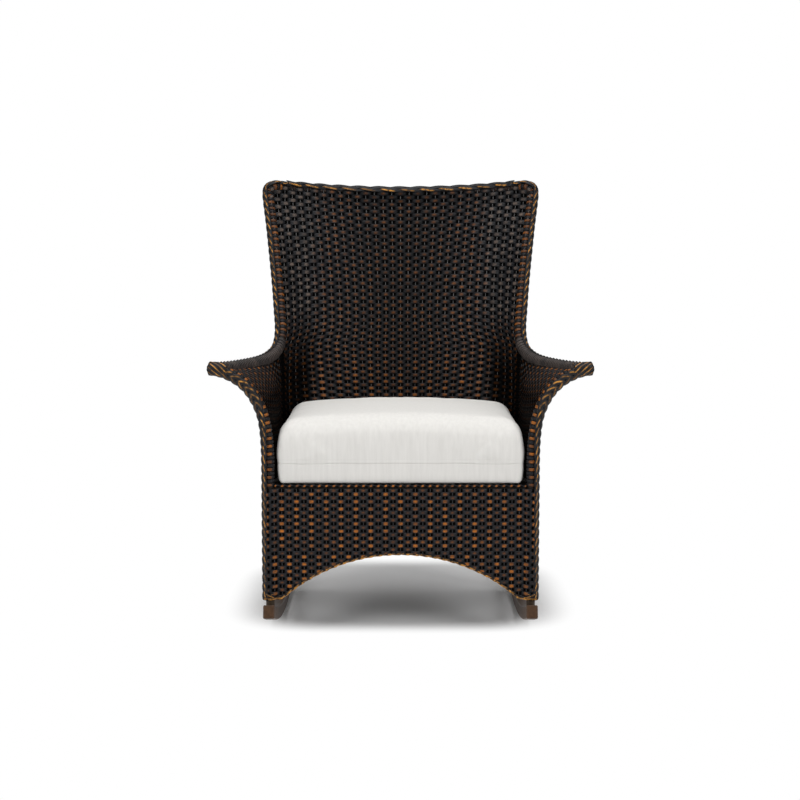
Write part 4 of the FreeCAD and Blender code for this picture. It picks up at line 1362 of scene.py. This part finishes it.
spread_out = along_sleeve(facing) * np.cos(angle) + along_sleeve(across_way) * np.sin(angle)
set_points(sleeve, along_sleeve(line) + spread_out * reach[:, None])
sleeve.data.materials.append(braid_finish)
name_piece(sleeve, "arm_tip_right_strands")
finish_pair(sleeve, "arm_tip", "_strands", "braid_strand", in_place=False)

# Arch trims and the apron's bead
# Two strands twisted tightly round each arch rod, which close the lower edges of the sheets, and one such
# cord along the top of the apron, tucked in under the cushion.
trim_pitch = 0.022
trim_steps = 121
front_trim_steps = 141
trim_past_post = 0.012
trim_past_limit = 1.4
trim_front_depth = apron_depth - 0.002
trim_post_depth = -0.0055
trim_end_depth = 0.010
cord_pieces = 12
cord_flatness = 1.25
cord_ridge = -0.05
cord_gold = (2.2, 0.7)
bead_radius = 0.004
bead_gap = 0.0003
forward = np.array([0.0, -1.0, 0.0])
outward = np.array([1.0, 0.0, 0.0])


def twist(name, path, radius, pitch, finish):
    """A two-strand cord that fills a round of the given radius."""
    pair = []
    for number in (0, 1):
        one = strand(2 * pitch, cord_flatness * radius, radius, cord_pieces)
        points = points_of(one)
        angle = np.pi * points[:, 0] / pitch + np.pi * number
        y = points[:, 1]
        z = points[:, 2] + radius / 2
        points[:, 1] = y * np.cos(angle) - z * np.sin(angle)
        points[:, 2] = y * np.sin(angle) + z * np.cos(angle)
        note(one, "ridge", np.full(len(points), cord_ridge))
        note(one, "gold", np.clip(cord_gold[0] * points[:, 1] / radius + cord_gold[1], 0, 1))
        note(one, "height", np.clip(points[:, 2] / radius, -1, 1))
        set_points(one, points)
        pair.append(one)
    made = join(pair, name)
    count = int(path[0][-1] / (2 * pitch)) + 1
    repeat(made, count, (2 * pitch, 0, 0), joined=True)
    points = points_of(made)
    points[:, 0] *= path[0][-1] / (2 * pitch * count)
    set_points(made, points)
    note(made, "shade", np.ones(len(points)))
    keep_flat_place(made, points)
    lay_along(made, path, 0)
    made.data.materials.append(finish)
    return made


def trim_path(line, facing):
    return bar_path(on_floor(line), np.tile(facing, (len(line), 1)))


xs = np.linspace(-1, 1, front_trim_steps) * (post_x + trim_past_post)
past_arch = (np.abs(xs) - front_arch_half_span) / (post_x - front_arch_half_span)
past_arch = np.clip(past_arch, 0, trim_past_limit)
depths = between(trim_front_depth, trim_post_depth, np.clip(past_arch, 0, 1))
depths = depths + trim_end_depth * np.clip(past_arch - 1, 0, 1)
line = np.stack([xs, depths, trim_radius + arch_height(xs, front_arch_half_span, arch_top_z)], 1)
cord = twist("arch_trim_front_cord", trim_path(line, forward), trim_radius, trim_pitch, braid_finish)
finish_sheet(cord, "braid_strand", "arch_trim_front")

depths = np.linspace(post_depth + tube_radius, leg_point(skirt_bottom_z)[1], trim_steps)
side_middle = (side_arch_start + side_arch_end) / 2
line = np.stack([
    np.linspace(post_x, leg_foot[0], trim_steps),
    depths,
    trim_radius + arch_height(depths - side_middle, side_arch_half_span, side_arch_top_z),
], 1)
cord = twist("arch_trim_right_cord", trim_path(line, outward), trim_radius, trim_pitch, braid_finish)
finish_pair(cord, "arch_trim", "_cord", "braid_strand")

line = across_back(skirt_section(skirt_bottom_z), 1.0)
line[:, 2] = trim_radius + arch_height(line[:, 0], rear_arch_half_span, arch_top_z)
cord = twist("arch_trim_rear_cord", trim_path(line, -forward), trim_radius, trim_pitch, braid_finish)
finish_sheet(cord, "braid_strand", "arch_trim_rear")

bead_z = deck_top_z - bead_gap - bead_radius
bead_half = post_x - wrap_radius
line = np.array([(x, apron_depth, bead_z) for x in np.linspace(-bead_half, bead_half, trim_steps)])
cord = twist("apron_bead_cord", trim_path(line, forward), bead_radius, apron_pitch, weaver_finish)
finish_sheet(cord, "woven_strand", "apron_bead")

# Post feet
# The ends of the braid and of the front trim, of the same strand, drawn twice round the foot of each front
# post and tucked in.
foot_turns = 2
foot_pieces = 24
foot_low_z = 0.093
foot_rise = 0.011
foot_wave = 1.5
foot_loop_radius = 0.0160
foot_slack = 0.0012
foot_strand = (0.0062, 0.0030)
loop_length = 2 * math.pi * foot_loop_radius * foot_turns
loop = strand(loop_length, *foot_strand, foot_pieces * foot_turns)
points = points_of(loop)
angle = points[:, 0] / foot_loop_radius
note(loop, "ridge", points[:, 1] / foot_strand[0] * 2)
note(loop, "gold", np.where(points[:, 2] >= 0, 1.0, 0.0))
keep_flat_place(loop, points)
reach = foot_loop_radius + points[:, 2] + foot_slack * np.cos(angle / foot_turns)
height = foot_low_z + foot_rise * (0.5 + 0.5 * np.sin(angle * foot_wave)) + points[:, 1]
laid = np.stack([post_x + reach * np.sin(angle), post_depth - reach * np.cos(angle), height], 1)
set_points(loop, on_floor(laid))
loop.data.materials.append(braid_finish)
name_piece(loop, "foot_loops_right")
finish_pair(loop, "foot_loops", "", "braid_strand", in_place=False)

# Seat webbing
# Woven polyester belts in two layers, drawn tight over the seat rails and fixed there. They carry the loose
# cushion.
belt_dark = (0.012, 0.011, 0.010)
belt_light = (0.04, 0.034, 0.03)
belt_finish, shader = new_finish("belt_finish", belt_dark, 0.8)
mottled(belt_finish, shader, belt_dark, belt_light, scale=500, bump=0.0004, detail=1)
finish_nodes(belt_finish, "webbing", "webbing_across", "webbing_along")

# Seat cushion
# A loose boxed cushion of foam in an off-white slubbed linen cover, sewn round its lower edge. It lies on
# the webbing, between the arms and against the back.
linen = (0.74, 0.725, 0.70)
linen_dark = (0.70, 0.685, 0.655)
linen_light = (0.76, 0.745, 0.715)
linen_slub = (9, 9, 0.7)
cloth_size = 0.007
puff_pressure = 4
puff_moments = 20
most_swell = 0.006
base_round = 0.016
base_drop = 0.009
base_reach = 0.024
base_edge = 0.008
base_edge_share = 0.3
front_fill = 0.004
front_reach = 0.03
front_heights = (0, 0.15, 0.5, 1)
front_shares = (1, 1, 0.5, 0)
side_bulge = 0.0055
side_heights = (0, 0.08, 0.25, 0.5, 1)
side_shares = (0.6, 0.9, 1, 0.8, 0)
seams = ((0.405, 0.0011, 0.0016), (0.413, 0.0009, 0.0004))
foam_core = frame["nodes"]["cushion_core"]
cushion = copy_of(foam_core)
name_piece(cushion, "cushion_cover_sewn")
cushion.parent = None
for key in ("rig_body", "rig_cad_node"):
    del cushion[key]
cushion.data.materials.clear()
take(cushion)
bpy.ops.object.mode_set(mode="EDIT")
bpy.ops.mesh.select_all(action="SELECT")
bpy.ops.mesh.remove_doubles(threshold=0.00001)
bpy.ops.object.mode_set(mode="OBJECT")
cushion.data.remesh_voxel_size = cloth_size
bpy.ops.object.voxel_remesh()
before = points_of(cushion)
puff = cushion.modifiers.new("puff", "CLOTH")
puff.settings.use_pressure = True
puff.settings.uniform_pressure_force = puff_pressure
puff.settings.effector_weights.gravity = 0
puff.point_cache.frame_end = puff_moments
for moment in range(1, puff_moments + 1):
    bpy.context.scene.frame_set(moment)
bpy.ops.object.modifier_apply(modifier=puff.name)
after = points_of(cushion)
move = after - before
far = np.linalg.norm(move, axis=1, keepdims=True)
move *= np.minimum(1, most_swell / np.maximum(far, 1e-9))
set_points(cushion, before + move)
points = points_of(cushion)
low, high = points.min(0), points.max(0)
near_base = np.clip((low[2] + base_reach - points[:, 2]) / base_reach, 0, 1)
off_base = np.clip((points[:, 2] - low[2]) / base_edge + base_edge_share, 0, 1)
points[:, 2] -= base_drop * near_base**0.5 * off_base
up = np.clip((points[:, 2] - low[2]) / (high[2] - low[2]), 0, 1)
points[:, 0] *= 1 + side_bulge / high[0] * np.interp(up, side_heights, side_shares)
near_front = np.clip(1 - (points[:, 1] - low[1]) / front_reach, 0, 1)
points[:, 1] -= front_fill * near_front * np.interp(up, front_heights, front_shares)
points[:, 2] = np.maximum(points[:, 2], deck_top_z)
low, high = points.min(0), points.max(0)
drop = np.clip(low[2] + base_round - points[:, 2], 0, base_round)
half_width = (high[0] - low[0]) / 2 - base_round + np.sqrt(base_round**2 - drop**2)
points[:, 0] = np.clip(points[:, 0], -half_width, half_width)
set_points(cushion, points)
fine = cushion.modifiers.new("fine", "SUBSURF")
fine.levels = 1
fine.render_levels = 1
bpy.ops.object.modifier_apply(modifier=fine.name)
for height, width, depth in seams:
    bpy.ops.object.mode_set(mode="EDIT")
    for level in (height - width, height + width, height):
        bpy.ops.mesh.select_all(action="SELECT")
        bpy.ops.mesh.bisect(plane_co=(0, 0, level), plane_no=(0, 0, 1))
    bpy.ops.transform.shrink_fatten(value=-depth)
    bpy.ops.object.mode_set(mode="OBJECT")
bpy.ops.object.shade_smooth()
linen_finish, shader = new_finish("linen_finish", linen, 0.9)
mottled(linen_finish, shader, linen_dark, linen_light, scale=14, stretch=linen_slub, bump=0.00015, detail=5)
cushion.data.materials.append(linen_finish)
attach(cushion, "cushion")
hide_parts("cushion_cover", "cushion_core")

low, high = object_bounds()
